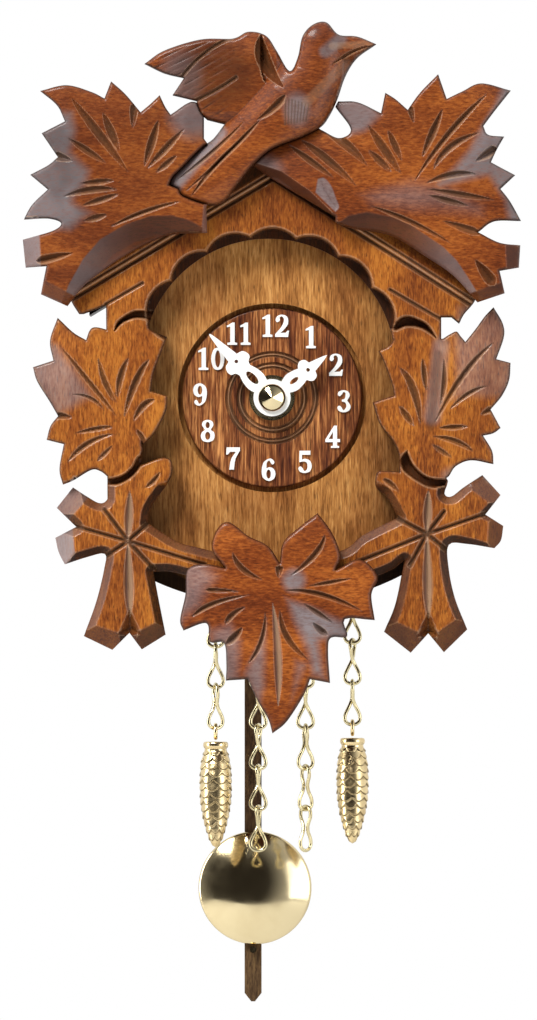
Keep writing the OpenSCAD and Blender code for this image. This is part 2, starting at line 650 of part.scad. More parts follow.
module quartz_crystal() {
    color("silver") translate([-21, inner_back_y - 1.85, -24]) cylinder(h = 6, r = 1);
}

module battery() {
    r = battery_d / 2 - 0.05;
    color("silver") translate([-24.6, inner_front_y + battery_d / 2, casing_low_z + casing_t
        + battery_d / 2]) rotate([0, 90, 0]) {
        cylinder(h = 49.2, r = r);
        cylinder(h = 50.4, r = 2.6);
    }
}

module battery_contacts() {
    z = casing_low_z + casing_t + battery_d / 2;
    y = inner_front_y + battery_d / 2;
    color("silver") {
        translate([-26.8, y - 5, z - 5]) cube([0.4, 10, 10]);
        translate([-26.4, y, z]) rotate([0, 90, 0]) cylinder(h = 1.8, r = 2.5);
        translate([25.8, y - 5, z - 5]) cube([0.4, 10, 10]);
    }
}

// ---- Gear trains ----

module minute_arbor() {
    color("gold") {
        rod_along_y(minute_at, -26.1, 12.8, arbor_r);
        rod_along_y(minute_at, inner_back_y + pivot_depth, 11.6, 0.9);
        meshing_gear(minute_at, -26.1, 1.2, 12, motion_m, 160);
    }
}

module hour_wheel() {
    color("ivory") difference() {
        union() {
            meshing_gear(minute_at, -27.5, 0.9, 40, hour_m, 160);
            rod_along_y(minute_at, -27.5, 8.6, hour_pipe_r);
        }
        rod_along_y(minute_at, -27, 10, hour_pipe_bore_r);
    }
}

module motion_wheel() {
    color("ivory") {
        gear(motion_at, -26.2, 1, 36, motion_m, 340);
        gear(motion_at, -27.2, 1.3, 10, hour_m, 340);
        axle(motion_at);
    }
}

module centre_wheel() {
    color("ivory") difference() {
        union() {
            gear(minute_at, -23.6, 0.8, 80, going_m, 0);
            rod_along_y(minute_at, -23.2, 1.6, 2);
        }
        rod_along_y(minute_at, -23, 2, 0.94);
    }
}

module third_wheel() {
    color("ivory") {
        gear(third_at, -22, 0.8, 75, going_m, 60);
        meshing_gear(third_at, -22.8, 1.8, 10, going_m, 180);
        axle(third_at);
    }
}

module seconds_wheel() {
    color("ivory") {
        gear(seconds_at, -20.4, 0.8, 60, going_m, 150);
        meshing_gear(seconds_at, -21.2, 1.8, 10, going_m, 240);
        axle(seconds_at);
    }
}

module intermediate_wheel() {
    color("ivory") {
        gear(intermediate_at, -18.8, 0.8, 50, going_m, 170);
        meshing_gear(intermediate_at, -19.6, 1.8, 10, going_m, 330);
        axle(intermediate_at);
    }
}

module rotor() {
    color("dimgray") {
        meshing_gear(rotor_at, -18.6, 1.2, 10, going_m, 350);
        rod_along_y(rotor_at, -21, 2, 3);
        axle(rotor_at);
    }
}

module setting_knob() {
    knob_y = casing_back_y + 0.4;
    grip_t = 2.6;
    grips = 16;
    color("dimgray") {
        meshing_gear(setting_at, -26.1, 1.2, 12, motion_m, 20);
        rod_along_y(setting_at, knob_y, knob_y + 26.1, 1);
        rod_along_y(setting_at, -26, -26 - inner_front_y + pivot_depth, pivot_r);
        difference() {
            rod_along_y(setting_at, knob_y + grip_t, grip_t, 3.4);
            for (i = [0:grips - 1]) {
                a = 360 / grips * i;
                rod_along_y(setting_at + 3.5 * [cos(a), sin(a)], knob_y + grip_t + 1, grip_t + 2,
                    0.35);
            }
        }
    }
}

// ---- Pendulum ----

module pendulum_coil() {
    color([0.6, 0.25, 0.1]) rod_along_y([pendulum_x, magnet_z], inner_back_y, 2.6, 4);
}

module pendulum_lever() {
    lever_t = 2;
    color("white") difference() {
        upright(lever_y, lever_t) union() {
            translate([pendulum_x, pivot_z]) circle(r = 2.6);
            translate([pendulum_x - 2, hook_z]) square([4, pivot_z - hook_z]);
            translate([pendulum_x, magnet_z]) circle(r = 3.4);
            translate([pendulum_x, hook_z]) circle(r = 2);
        }
        rod_along_y([pendulum_x, pivot_z], 0, 20, 1.25);
        rod_along_y([pendulum_x, magnet_z], lever_y - 0.6, 3, 2.2);
        rod_along_y([pendulum_x, hook_z], lever_y + 1, 1.8, 0.6);
    }
}

module drive_magnet() {
    color("silver") rod_along_y([pendulum_x, magnet_z], lever_y - 0.6, 2, 2.2);
}

module pendulum_hook() {
    head_y = -8;
    color("silver") {
        rod_along_y([pendulum_x, hook_z], head_y, head_y - lever_y + 0.8, 0.6);
        rod_along_y([pendulum_x, hook_z], head_y, 0.5, 1.2);
    }
}

pin_z = -148.8;
pin_r = 0.7;

module pendulum_rod() {
    top_z = hook_z + 2.5;
    taper = 1.8;
    color([0.3, 0.2, 0.14]) difference() {
        upright(rod_y, rod_t) translate([pendulum_x, 0]) polygon([
            [-rod_w / 2, top_z], [-rod_w / 2, rod_tip_z + taper], [-0.4, rod_tip_z],
            [0.4, rod_tip_z], [rod_w / 2, rod_tip_z + taper], [rod_w / 2, top_z]]);
        rod_along_y([pendulum_x, hook_z], 0, 20, 0.63);
        rod_along_y([pendulum_x, pin_z], 0, 20, pin_r);
    }
}

module rod_pin() {
    color("gold") rod_along_y([pendulum_x, pin_z], rod_y + 0.6, rod_t + 2.4, pin_r);
}

bob_x = pendulum_x + 0.4;
bob_back_y = -10.9;

module pendulum_bob() {
    bob_t = 4.1;
    color("gold") translate([bob_x, bob_back_y, bob_z]) rotate([90, 0, 0])
        rotate_extrude($fn = 96) polygon(concat([[0, 0], [bob_r - 0.3, 0]], [
            for (a = [0:7.5:90]) [bob_r * cos(a), 0.3 + (bob_t - 0.3) * sin(a)]]));
}

module bob_clip() {
    play = 0.05;
    clip_l = 18;
    wall = 0.25;
    inner_w = rod_w / 2 + play;
    back_y = rod_y + play + wall;
    color("gold") difference() {
        translate([pendulum_x - inner_w - wall, bob_back_y, bob_z - clip_l / 2])
            cube([2 * (inner_w + wall), back_y - bob_back_y, clip_l]);
        translate([pendulum_x - inner_w, rod_y - rod_t - play, bob_z - clip_l / 2 - 1])
            cube([2 * inner_w, rod_t + 2 * play, clip_l + 2]);
    }
}

// ---- Chains and weights ----

right_lift = 0.8;                     // the right weight hangs a little higher
recess_depth = 3;

// Figure-eight link with its upper loop turned a quarter turn from its lower loop
module chain_link() {
    reach = (link_pitch + 2 * wire_r + contact_gap) / 2;
    translate([0, 0, ring_r - reach]) rotate([90, 0, 0]) ring(ring_r, wire_r);
    translate([0, 0, reach - ring_r]) rotate([0, 90, 0]) ring(ring_r, wire_r);
    translate([0, 0, 2 * ring_r - reach]) cylinder(h = 2 * reach - 4 * ring_r, r = wire_r);
}

module chain(x, top_z, links) {
    color([0.62, 0.5, 0.2]) for (i = [0:links - 1])
        translate([x, chain_y, top_z - link_pitch * (i + 0.5)]) chain_link();
}

module left_weight_chain() { chain(left_chain_x, hang_z, weight_links); }
module right_weight_chain() { chain(right_chain_x, hang_z + right_lift, weight_links); }
module left_chain_tail() { chain(left_tail_x, hang_z, tail_links); }
module right_chain_tail() { chain(right_tail_x, hang_z, tail_links); }

// Screw eye whose ring the first link hangs in
module chain_eye(x, top_z) {
    centre_z = top_z - eye_wire_r - contact_gap / 2 + eye_r;
    translate([x, chain_y, centre_z]) rotate([90, 0, 0]) ring(eye_r, eye_wire_r);
    translate([x, chain_y, centre_z + eye_r])
        cylinder(h = floor_z + board_t - centre_z - eye_r, r = 0.6);
}

module chain_eyes() {
    color([0.62, 0.5, 0.2]) {
        for (x = [left_chain_x, left_tail_x, right_tail_x]) chain_eye(x, hang_z);
        chain_eye(right_chain_x, hang_z + right_lift);
    }
}

// Pine-cone weight with a ring on top that hangs in the last link
module weight(x, top_z) {
    ring_z = top_z - weight_links * link_pitch + eye_wire_r + contact_gap / 2 - eye_r;
    flange_z = ring_z - eye_r - 0.8;
    color([0.6, 0.42, 0.18]) translate([x, chain_y, 0]) {
        translate([0, 0, ring_z]) rotate([0, 90, 0]) ring(eye_r, eye_wire_r);
        translate([0, 0, flange_z - 0.2]) cylinder(h = ring_z - eye_r - flange_z + 0.2, r = 0.9);
        translate([0, 0, flange_z]) rotate_extrude() polygon([
            [0, 0], [2.2, 0], [2.6, -0.4], [2.6, -1.2], [2.3, -1.6], [2.6, -2.6], [3.1, -4.6],
            [cone_r - 0.05, -7], [cone_r, -9.5], [cone_r - 0.1, -12.5], [2.8, -0.71 * cone_l],
            [2.1, -0.83 * cone_l], [1.4, -0.92 * cone_l], [0.7, -0.985 * cone_l], [0, -cone_l]]);
    }
}

module left_weight() { weight(left_chain_x, hang_z); }
module right_weight() { weight(right_chain_x, hang_z + right_lift); }

front_panel();
left_side_board();
right_side_board();
left_roof_board();
right_roof_board();
bottom_board();
back_rail();
hanger_plate();
hanger_screws();
carved_frame();
bird();
left_crown_leaf();
right_crown_leaf();
bottom_leaf();
dial();
numerals();
mounting_nut();
hour_hand();
minute_hand();
hand_nut();
movement_front_shell();
movement_back_cover();
minute_arbor();
hour_wheel();
motion_wheel();
centre_wheel();
third_wheel();
seconds_wheel();
intermediate_wheel();
rotor();
stator();
motor_coil();
circuit_board();
quartz_crystal();
battery();
battery_contacts();
setting_knob();
pendulum_coil();
pendulum_lever();
drive_magnet();
pendulum_hook();
pendulum_rod();
rod_pin();
pendulum_bob();
bob_clip();
chain_eyes();
left_weight_chain();
right_weight_chain();
left_chain_tail();
right_chain_tail();
left_weight();
right_weight();
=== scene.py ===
import json
import math

import bpy
import numpy as np
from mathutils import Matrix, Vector
from mathutils.geometry import delaunay_2d_cdt
from mathutils.kdtree import KDTree


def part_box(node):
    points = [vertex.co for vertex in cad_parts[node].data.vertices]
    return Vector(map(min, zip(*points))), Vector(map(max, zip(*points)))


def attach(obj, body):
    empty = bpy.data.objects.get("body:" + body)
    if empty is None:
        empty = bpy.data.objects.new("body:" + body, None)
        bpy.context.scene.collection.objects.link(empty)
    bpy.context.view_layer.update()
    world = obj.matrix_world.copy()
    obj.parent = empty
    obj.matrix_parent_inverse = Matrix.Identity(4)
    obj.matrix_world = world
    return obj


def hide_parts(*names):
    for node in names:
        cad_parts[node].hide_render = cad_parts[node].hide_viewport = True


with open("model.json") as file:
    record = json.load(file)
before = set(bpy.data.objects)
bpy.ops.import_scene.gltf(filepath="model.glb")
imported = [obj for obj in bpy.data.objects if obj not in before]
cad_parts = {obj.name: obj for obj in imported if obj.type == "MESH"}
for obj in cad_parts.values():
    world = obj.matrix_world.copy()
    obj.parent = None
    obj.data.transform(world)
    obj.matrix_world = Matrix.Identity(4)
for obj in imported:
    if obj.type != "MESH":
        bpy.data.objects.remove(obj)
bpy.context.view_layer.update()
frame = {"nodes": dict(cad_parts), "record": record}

# Lengths in this script are millimetres, turned into metres when a mesh or an object is made;
# only the studio's lamps and floor are given in metres. X runs right, Y back and Z up.
MM = 0.001


def extent(node):
    """A node's low corner, high corner and middle, at rest."""
    low, high = np.array(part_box(node)) / MM
    return low, high, (low + high) / 2


# The back planes of the carved boards, and how thick the boards are
BOARD_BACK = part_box("carved_frame")[1][1] / MM
LEAF_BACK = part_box("bottom_leaf")[1][1] / MM
FRAME_T = BOARD_BACK - LEAF_BACK
LEAF_T = LEAF_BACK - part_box("bottom_leaf")[0][1] / MM
BIRD_T = LEAF_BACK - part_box("bird")[0][1] / MM


# ---- Camera, light and floor ----

VIEW_CENTRE = (-0.735, -55.65)       # X and Z at the middle of the view
VIEW_HEIGHT = 214.2
VIEW_DISTANCE = 4000
SENSOR = 36
DARK_SIDE = (-0.30, -0.94, 0.14)     # where the studio is unlit
LAMP_AIM = (0, -0.03, -0.05)
LAMPS = {                            # place, size, power and colour
    "key": ((-0.45, -0.75, 0.75), (0.5, 0.4), 18.0, (1, 0.985, 0.96)),
    "side": ((-0.95, -0.25, 0.1), (0.25, 0.9), 5.0, (1, 1, 1)),
    "fill": ((0.8, -0.7, 0.0), (0.5, 0.7), 3.0, (0.97, 0.985, 1)),
}
FLOOR_HALF = 0.9
FLOOR_Z = -0.40
FLOOR_GREY = (0.62, 0.62, 0.61, 1)


def make_camera():
    camera = bpy.data.objects.new("camera", bpy.data.cameras.new("camera"))
    bpy.context.collection.objects.link(camera)
    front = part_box("bottom_leaf")[0][1] / MM
    camera.location = (VIEW_CENTRE[0] * MM, (front - VIEW_DISTANCE) * MM, VIEW_CENTRE[1] * MM)
    camera.rotation_euler = (math.pi / 2, 0, 0)
    camera.data.sensor_fit = "VERTICAL"
    camera.data.sensor_height = SENSOR
    camera.data.lens = SENSOR * VIEW_DISTANCE / VIEW_HEIGHT
    camera.data.clip_start = 0.01
    bpy.context.scene.camera = camera


def area_light(name, place, size, power, colour):
    light = bpy.data.lights.new(name, "AREA")
    light.shape = "RECTANGLE"
    light.size, light.size_y = size
    light.energy = power
    light.color = colour
    lamp = bpy.data.objects.new(name, light)
    lamp.location = place
    aim = Vector(LAMP_AIM) - Vector(place)
    lamp.rotation_euler = aim.to_track_quat("-Z", "Y").to_euler()
    bpy.context.collection.objects.link(lamp)


def make_studio():
    scene = bpy.context.scene
    scene.view_settings.view_transform = "Standard"
    scene.world = bpy.data.worlds.new("studio")
    g = Graph(scene.world, "Background")
    facing = g.node("ShaderNodeVectorMath", {0: g.coords["Generated"], 1: DARK_SIDE},
                    operation="DOT_PRODUCT").outputs["Value"]
    studio = g.ramp(facing, [(0.28, (1, 1, 1)), (0.86, (0.025, 0.022, 0.02))])
    # The dark side shows in reflections only, and the backdrop itself is white all round
    seen = g.node("ShaderNodeLightPath").outputs["Is Camera Ray"]
    g.fill(g.shader, {"Color": g.mix(seen, studio, (1, 1, 1)), "Strength": 1.0})
    for name, lamp in LAMPS.items():
        area_light(name, *lamp)


def make_floor():
    corners = [(x * FLOOR_HALF, y * FLOOR_HALF, FLOOR_Z)
               for x, y in ((-1, -1), (1, -1), (1, 1), (-1, 1))]
    mesh = bpy.data.meshes.new("floor")
    mesh.from_pydata(corners, [], [(0, 1, 2, 3)])
    floor = bpy.data.objects.new("floor", mesh)
    bpy.context.collection.objects.link(floor)
    g = Graph(bpy.data.materials.new("floor"))
    g.fill(g.shader, {"Base Color": FLOOR_GREY, "Roughness": 0.8})
    mesh.materials.append(g.owner)


# ---- Materials ----

# What colours a carved board, as attributes from 0 to 1: cut wood, stain with painted shade, wear
# with painted highlights, and painted sheen
MARKS = ("cut", "edge", "worn", "haze")


class Graph:
    """Short names for building the nodes of a new material or world."""

    def __init__(self, owner, shader="Principled BSDF"):
        owner.use_nodes = True
        self.owner = owner
        self.tree = owner.node_tree
        self.shader = self.tree.nodes[shader]
        self.coords = self.node("ShaderNodeTexCoord").outputs

    def fill(self, node, sockets):
        """Gives some of the sockets a value, or links them to another node's socket."""
        for key, value in sockets.items():
            if isinstance(value, bpy.types.NodeSocket):
                self.tree.links.new(value, node.inputs[key])
            else:
                node.inputs[key].default_value = value

    def node(self, kind, sockets=None, **settings):
        made = self.tree.nodes.new(kind)
        for key, value in settings.items():
            setattr(made, key, value)
        self.fill(made, sockets or {})
        return made

    def noise(self, scale, detail=4, rough=0.55, distort=0.0):
        """Noise whose scale along X, Y and Z is in waves per metre."""
        place = self.node("ShaderNodeMapping", {"Vector": self.coords["Object"], "Scale": scale})
        return self.node("ShaderNodeTexNoise", {
            "Vector": place.outputs[0], "Scale": 1, "Detail": detail, "Roughness": rough,
            "Distortion": distort}).outputs["Fac"]

    def ramp(self, source, stops):
        ramp = self.node("ShaderNodeValToRGB", {0: source})
        points = ramp.color_ramp.elements
        while len(points) < len(stops):
            points.new(0.5)
        for point, (position, colour) in zip(points, stops):
            point.position = position
            point.color = (*colour, 1)
        return ramp.outputs[0]

    def grey(self, source, low, high, low_value=0.0, high_value=1.0):
        """Maps low..high of the source onto low_value..high_value, clamped."""
        values = source, low, high, low_value, high_value
        return self.node("ShaderNodeMapRange", dict(enumerate(values))).outputs[0]

    def math(self, operation, *values):
        return self.node("ShaderNodeMath", dict(enumerate(values)), operation=operation).outputs[0]

    def mix(self, factor, a, b, blend="MIX"):
        a, b = ((*colour, 1) if isinstance(colour, tuple) else colour for colour in (a, b))
        return self.node("ShaderNodeMix", {0: factor, 6: a, 7: b}, data_type="RGBA",
                         blend_type=blend).outputs[2]

    def attribute(self, name):
        return self.node("ShaderNodeAttribute", attribute_name=name).outputs["Fac"]

    def finish(self, height, strength, distance_mm, sockets):
        """Bumps the surface, fills the shader's sockets and returns the material."""
        bump = self.node("ShaderNodeBump", {"Strength": strength, "Distance": distance_mm * MM,
                                            "Height": height})
        self.fill(self.shader, {"Normal": bump.outputs[0], **sockets})
        return self.owner


# Dark brown for pores and stain, also used for painted shade
DARK_STAIN_AND_SHADE = (0.016, 0.0065, 0.0035)
# Grey-violet painted sheen, standing in for the lacquer's reflection
PAINTED_SHEENS = (0.205, 0.182, 0.192), (0.125, 0.110, 0.115)
CUT_WOOD = (0.095, 0.050, 0.026)
# Pale wood for worn ridges and for painted highlights
PALE_WEAR_AND_HIGHLIGHT = (0.46, 0.29, 0.17)


def wood(name, dark, mid, light, grain, relief=True, coat=0.35, streaks=1.0, long=480, painted_side_shade=0.0):
    """Lacquered wood; grain is the axis along which the fibres run.

    streaks is the strength of the dark pores and long the waves per metre along the fibres;
    the last argument is how far painted shade darkens the sides of the panel.
    """
    g = Graph(bpy.data.materials.new(name))

    def along(fine, long):
        return tuple(long if axis == grain else fine for axis in "XYZ")

    broad = g.noise(along(150, 22), 3, 0.55, 0.5)
    fibre = g.noise(along(2600, long), 3, 0.62, 0.3)
    pores = g.noise(along(4000, 1.5 * long), 2, 0.5)
    cloud = g.noise((70, 70, 70), 3, 0.55)
    tone = g.math("ADD", g.math("MULTIPLY", broad, 0.42), g.math("MULTIPLY", fibre, 0.58))
    colour = g.ramp(tone, [(0.38, dark), (0.50, mid), (0.62, light)])
    colour = g.mix(g.grey(cloud, 0.42, 0.62, 0.0, 0.5), colour,
                   g.mix(1.0, colour, (0.60, 0.46, 0.42), "MULTIPLY"))
    pore_mask = g.grey(pores, 0.56, 0.70, 0.0, 0.6 * streaks)
    colour = g.mix(pore_mask, colour, DARK_STAIN_AND_SHADE)
    # Painted shade: the panel darkens towards its sides, where the frame and leaves shade it
    if painted_side_shade:
        x, _, z = g.node("ShaderNodeSeparateXYZ", {0: g.coords["Object"]}).outputs
        aside = g.math("ABSOLUTE", x)
        colour = g.mix(g.grey(aside, 0.018, 0.026, 0.0, painted_side_shade), colour, DARK_STAIN_AND_SHADE)
        # Painted shadow: the rounded lower border is darkened nearly black
        down = g.math("ADD", z, 0.032)
        ring = g.math("ADD", g.math("MULTIPLY", aside, aside), g.math("MULTIPLY", down, down))
        colour = g.mix(g.grey(ring, 0.0415 ** 2, 0.0425 ** 2, 0.0, 0.9), colour, DARK_STAIN_AND_SHADE)
    if relief:
        cut, edge, worn, haze = map(g.attribute, MARKS)
        # Painted sheen: the lacquer's grey-violet reflection laid into the colour
        painted_sheen_mask = g.math("MULTIPLY", haze, g.grey(fibre, 0.34, 0.60, 0.60, 1.0))
        colour = g.mix(painted_sheen_mask, colour, g.mix(g.grey(cloud, 0.4, 0.65), *PAINTED_SHEENS))
        # The edge mark is stain along the edges together with painted shade on unlit sides, in
        # recesses and over darkened areas
        ragged = g.math("MULTIPLY", edge, g.grey(fibre, 0.3, 0.6, 0.65, 1.1))
        colour = g.mix(g.grey(ragged, 0.1, 1.0, 0.0, 0.94), colour, DARK_STAIN_AND_SHADE)
        colour = g.mix(g.grey(cut, 0.0, 1.0, 0.0, 0.72), colour, CUT_WOOD)
        # Pale ridges are wear; the pale lit sides of cuts, beak and breast are painted highlights
        colour = g.mix(g.grey(worn, 0.15, 1.0, 0.0, 0.75), colour, PALE_WEAR_AND_HIGHLIGHT)
        bare = g.math("SUBTRACT", 1.0, g.math("MAXIMUM", edge, cut))
        coat = g.grey(bare, 0.0, 0.9, 0.02, coat)
    height = g.math("SUBTRACT", fibre, g.math("MULTIPLY", pore_mask, 0.8))
    return g.finish(height, 0.25, 0.05, {
        "Base Color": colour, "Roughness": g.grey(fibre, 0.3, 0.7, 0.38, 0.55),
        "Specular IOR Level": 0.16, "Coat Weight": coat, "Coat Roughness": 0.16,
        "Coat IOR": 1.45})


def plastic(name, colour, rough, grain_mm, strength=0.15):
    g = Graph(bpy.data.materials.new(name))
    fine = g.noise((1000 / grain_mm,) * 3, 2)
    cloud = g.noise((60, 60, 60), 3)
    shade = tuple(0.82 * c for c in colour)
    return g.finish(fine, strength, 0.02, {
        "Base Color": g.mix(g.grey(cloud, 0.35, 0.7, 0, 0.6), colour, shade),
        "Roughness": g.grey(fine, 0.3, 0.7, rough - 0.06, rough + 0.08)})


def metal(name, colour, tarnish, rough, worn=0.5, pattern=90, relief=False):
    g = Graph(bpy.data.materials.new(name))
    cloud = g.noise((pattern, pattern, pattern), 5, 0.6)
    fine = g.noise((1400, 1400, 1400), 3)
    tint = g.mix(g.grey(cloud, 0.42, 0.68, 0, worn), colour, tarnish)
    if relief:
        # The cut mark darkens towards deep tarnish; on the cones it is painted shadow under the
        # scales
        tint = g.mix(g.attribute("cut"), tint, tuple(0.30 * c for c in tarnish))
    return g.finish(fine, 0.12, 0.02, {
        "Base Color": tint, "Roughness": g.grey(cloud, 0.35, 0.7, rough, rough + 0.16),
        "Metallic": 1.0})


MATERIALS = {}
for kind, name, *look, options in (
        (wood, "carved_wood", (0.130, 0.031, 0.006), (0.265, 0.076, 0.011), (0.420, 0.146, 0.020),
         "Z", {}),
        (wood, "leaf_wood", (0.108, 0.022, 0.004), (0.210, 0.048, 0.007), (0.360, 0.100, 0.014),
         "X", dict(coat=0.3, streaks=0.7, long=700)),
        (wood, "panel_wood", (0.19, 0.070, 0.016), (0.38, 0.160, 0.040), (0.58, 0.290, 0.088),
         "Z", dict(relief=False, coat=0.3, long=260, painted_side_shade=0.55)),
        (wood, "case_wood", (0.020, 0.012, 0.007), (0.038, 0.022, 0.013), (0.065, 0.038, 0.021),
         "Z", dict(relief=False, coat=0.1)),
        (wood, "dial_wood", (0.050, 0.012, 0.007), (0.210, 0.066, 0.020), (0.60, 0.265, 0.085),
         "Z", dict(coat=0.3, streaks=1.3, long=150)),
        (wood, "rod_wood", (0.042, 0.023, 0.011), (0.080, 0.044, 0.019), (0.135, 0.080, 0.032),
         "Z", dict(relief=False, coat=0.2)),
        (plastic, "white_plastic", (0.88, 0.88, 0.86), 0.34, 0.3, {}),
        (plastic, "movement_plastic", (0.022, 0.022, 0.024), 0.5, 0.25, dict(strength=0.4)),
        (plastic, "gear_plastic", (0.78, 0.74, 0.62), 0.4, 0.4, {}),
        (metal, "brass", (0.74, 0.62, 0.38), (0.50, 0.38, 0.19), 0.06, dict(worn=0.3)),
        (metal, "aged_brass", (0.74, 0.65, 0.40), (0.42, 0.33, 0.16), 0.14, dict(pattern=160)),
        (metal, "cone_metal", (0.80, 0.64, 0.36), (0.50, 0.34, 0.15), 0.18,
         dict(worn=0.6, pattern=220, relief=True)),
        (metal, "steel", (0.60, 0.60, 0.58), (0.40, 0.40, 0.38), 0.28, {}),
        (metal, "copper_coil", (0.60, 0.24, 0.10), (0.36, 0.12, 0.05), 0.35, {}),
        (plastic, "board_green", (0.03, 0.16, 0.07), 0.35, 0.5, {}),
        (plastic, "battery_jacket", (0.05, 0.06, 0.10), 0.3, 0.5, {})):
    MATERIALS[name] = kind(name, *look, **options)


def finish_cad_nodes():
    slot_of = {part["node"]: part["material_slot"] for part in frame["record"]["subparts"]}
    for name, obj in frame["nodes"].items():
        for slot in obj.material_slots:
            slot.material = MATERIALS[slot_of[name]]


# ---- Outlines taken from the frame's upright boards ----

def back_loops(node):
    """Closed loops of (x, z) around the back face of an upright board."""
    mesh = frame["nodes"][node].data
    co = np.array([v.co for v in mesh.vertices]) / MM
    back = co[:, 1].max()
    keys = [(round(x, 3), round(z, 3)) for x, _, z in co]
    edges = set()
    for face in mesh.polygons:
        if all(abs(co[v, 1] - back) < 0.01 for v in face.vertices):
            ring = [keys[v] for v in face.vertices]
            edges.update((a, b) for a, b in zip(ring, ring[1:] + ring[:1]) if a != b)
    onward = {a: b for a, b in edges if (b, a) not in edges}
    loops = []
    while onward:
        start, here = onward.popitem()
        loop = [start]
        while here != start and here in onward:
            loop.append(here)
            here = onward.pop(here)
        loops.append(np.array(loop))
    return [loop for loop in loops if len(loop) > 5]


def resample(loop, spacing, corner=28, straight=4.0):
    """The loop with points at about the spacing, curved between its corners.

    A corner turns by more than that many degrees, or ends a straight side of that length.
    """
    count = len(loop)
    ahead = np.roll(loop, -1, 0) - loop
    length = np.linalg.norm(ahead, axis=1)
    heading = np.degrees(np.arctan2(ahead[:, 1], ahead[:, 0]))
    turn = np.abs((heading - np.roll(heading, 1) + 180) % 360 - 180)
    sharp = (turn > corner) | (length > straight) | (np.roll(length, 1) > straight)
    points = []
    for i in range(count):
        b, c = loop[i], loop[(i + 1) % count]
        a = 2 * b - c if sharp[i] else loop[i - 1]
        d = 2 * c - b if sharp[(i + 1) % count] else loop[(i + 2) % count]
        steps = max(1, int(round(length[i] / spacing)))
        for k in range(steps):
            t = k / steps
            points.append(0.5 * (2 * b + (c - a) * t + (2 * a - 5 * b + 4 * c - d) * t * t
                                 + (3 * b - a - 3 * c + d) * t ** 3))
    return np.array(points)


def segment_distance(points, starts, ends, chunk=4000):
    """Distance from each point to the nearest segment, with that segment and the place on it."""
    best = np.empty(len(points))
    which = np.empty(len(points), int)
    place = np.empty(len(points))
    run = ends - starts
    size = np.maximum((run ** 2).sum(1), 1e-12)
    for low in range(0, len(points), chunk):
        offset = points[low:low + chunk, None] - starts[None]
        t = np.clip((offset * run[None]).sum(2) / size[None], 0, 1)
        gap = ((offset - t[:, :, None] * run[None]) ** 2).sum(2)
        near = gap.argmin(1)
        rows = np.arange(len(near))
        best[low:low + chunk] = np.sqrt(gap[rows, near])
        which[low:low + chunk] = near
        place[low:low + chunk] = t[rows, near]
    return best, which, place


def rim_distance(points, loops):
    """Distance from each point to loops of close-set points, and the nearest of those."""
    rim = np.concatenate(loops)
    before = np.concatenate([np.roll(loop, 1, 0) for loop in loops])
    after = np.concatenate([np.roll(loop, -1, 0) for loop in loops])
    tree = KDTree(len(rim))
    for i, (x, z) in enumerate(rim):
        tree.insert((x, z, 0), i)
    tree.balance()
    near = np.array([tree.find((x, z, 0))[1] for x, z in points])
    gaps = []
    for ends in (before, after):
        run = ends[near] - rim[near]
        offset = points - rim[near]
        t = np.clip((offset * run).sum(1) / np.maximum((run ** 2).sum(1), 1e-12), 0, 1)
        gaps.append(np.linalg.norm(offset - t[:, None] * run, axis=1))
    return np.minimum(*gaps), rim[near]


def inside(points, loops, chunk=600):
    """Whether each point is inside the loops, holes left out."""
    starts = np.concatenate(loops)
    ends = np.concatenate([np.roll(loop, -1, 0) for loop in loops])
    rise = np.where(np.abs(ends[:, 1] - starts[:, 1]) < 1e-9, 1e-9, ends[:, 1] - starts[:, 1])
    result = np.empty(len(points), bool)
    order = np.argsort(points[:, 1], kind="stable")
    for low in range(0, len(points), chunk):
        rows = order[low:low + chunk]
        z = points[rows, 1:2]
        near = (np.minimum(starts[:, 1], ends[:, 1]) <= z.max()) & (
            np.maximum(starts[:, 1], ends[:, 1]) >= z.min())
        a, b, up = starts[near], ends[near], rise[near]
        spans = (a[None, :, 1] > z) != (b[None, :, 1] > z)
        cross = a[None, :, 0] + (z - a[None, :, 1]) * ((b[:, 0] - a[:, 0]) / up)[None]
        result[rows] = (spans & (points[rows, 0:1] < cross)).sum(1) % 2 == 1
    return result


# ---- Carving ----

def smooth(t):
    t = np.clip(t, 0, 1)
    return t * t * (3 - 2 * t)


LIT = np.array((-0.6, 0.8))          # towards the lit side of a board, in X and Z


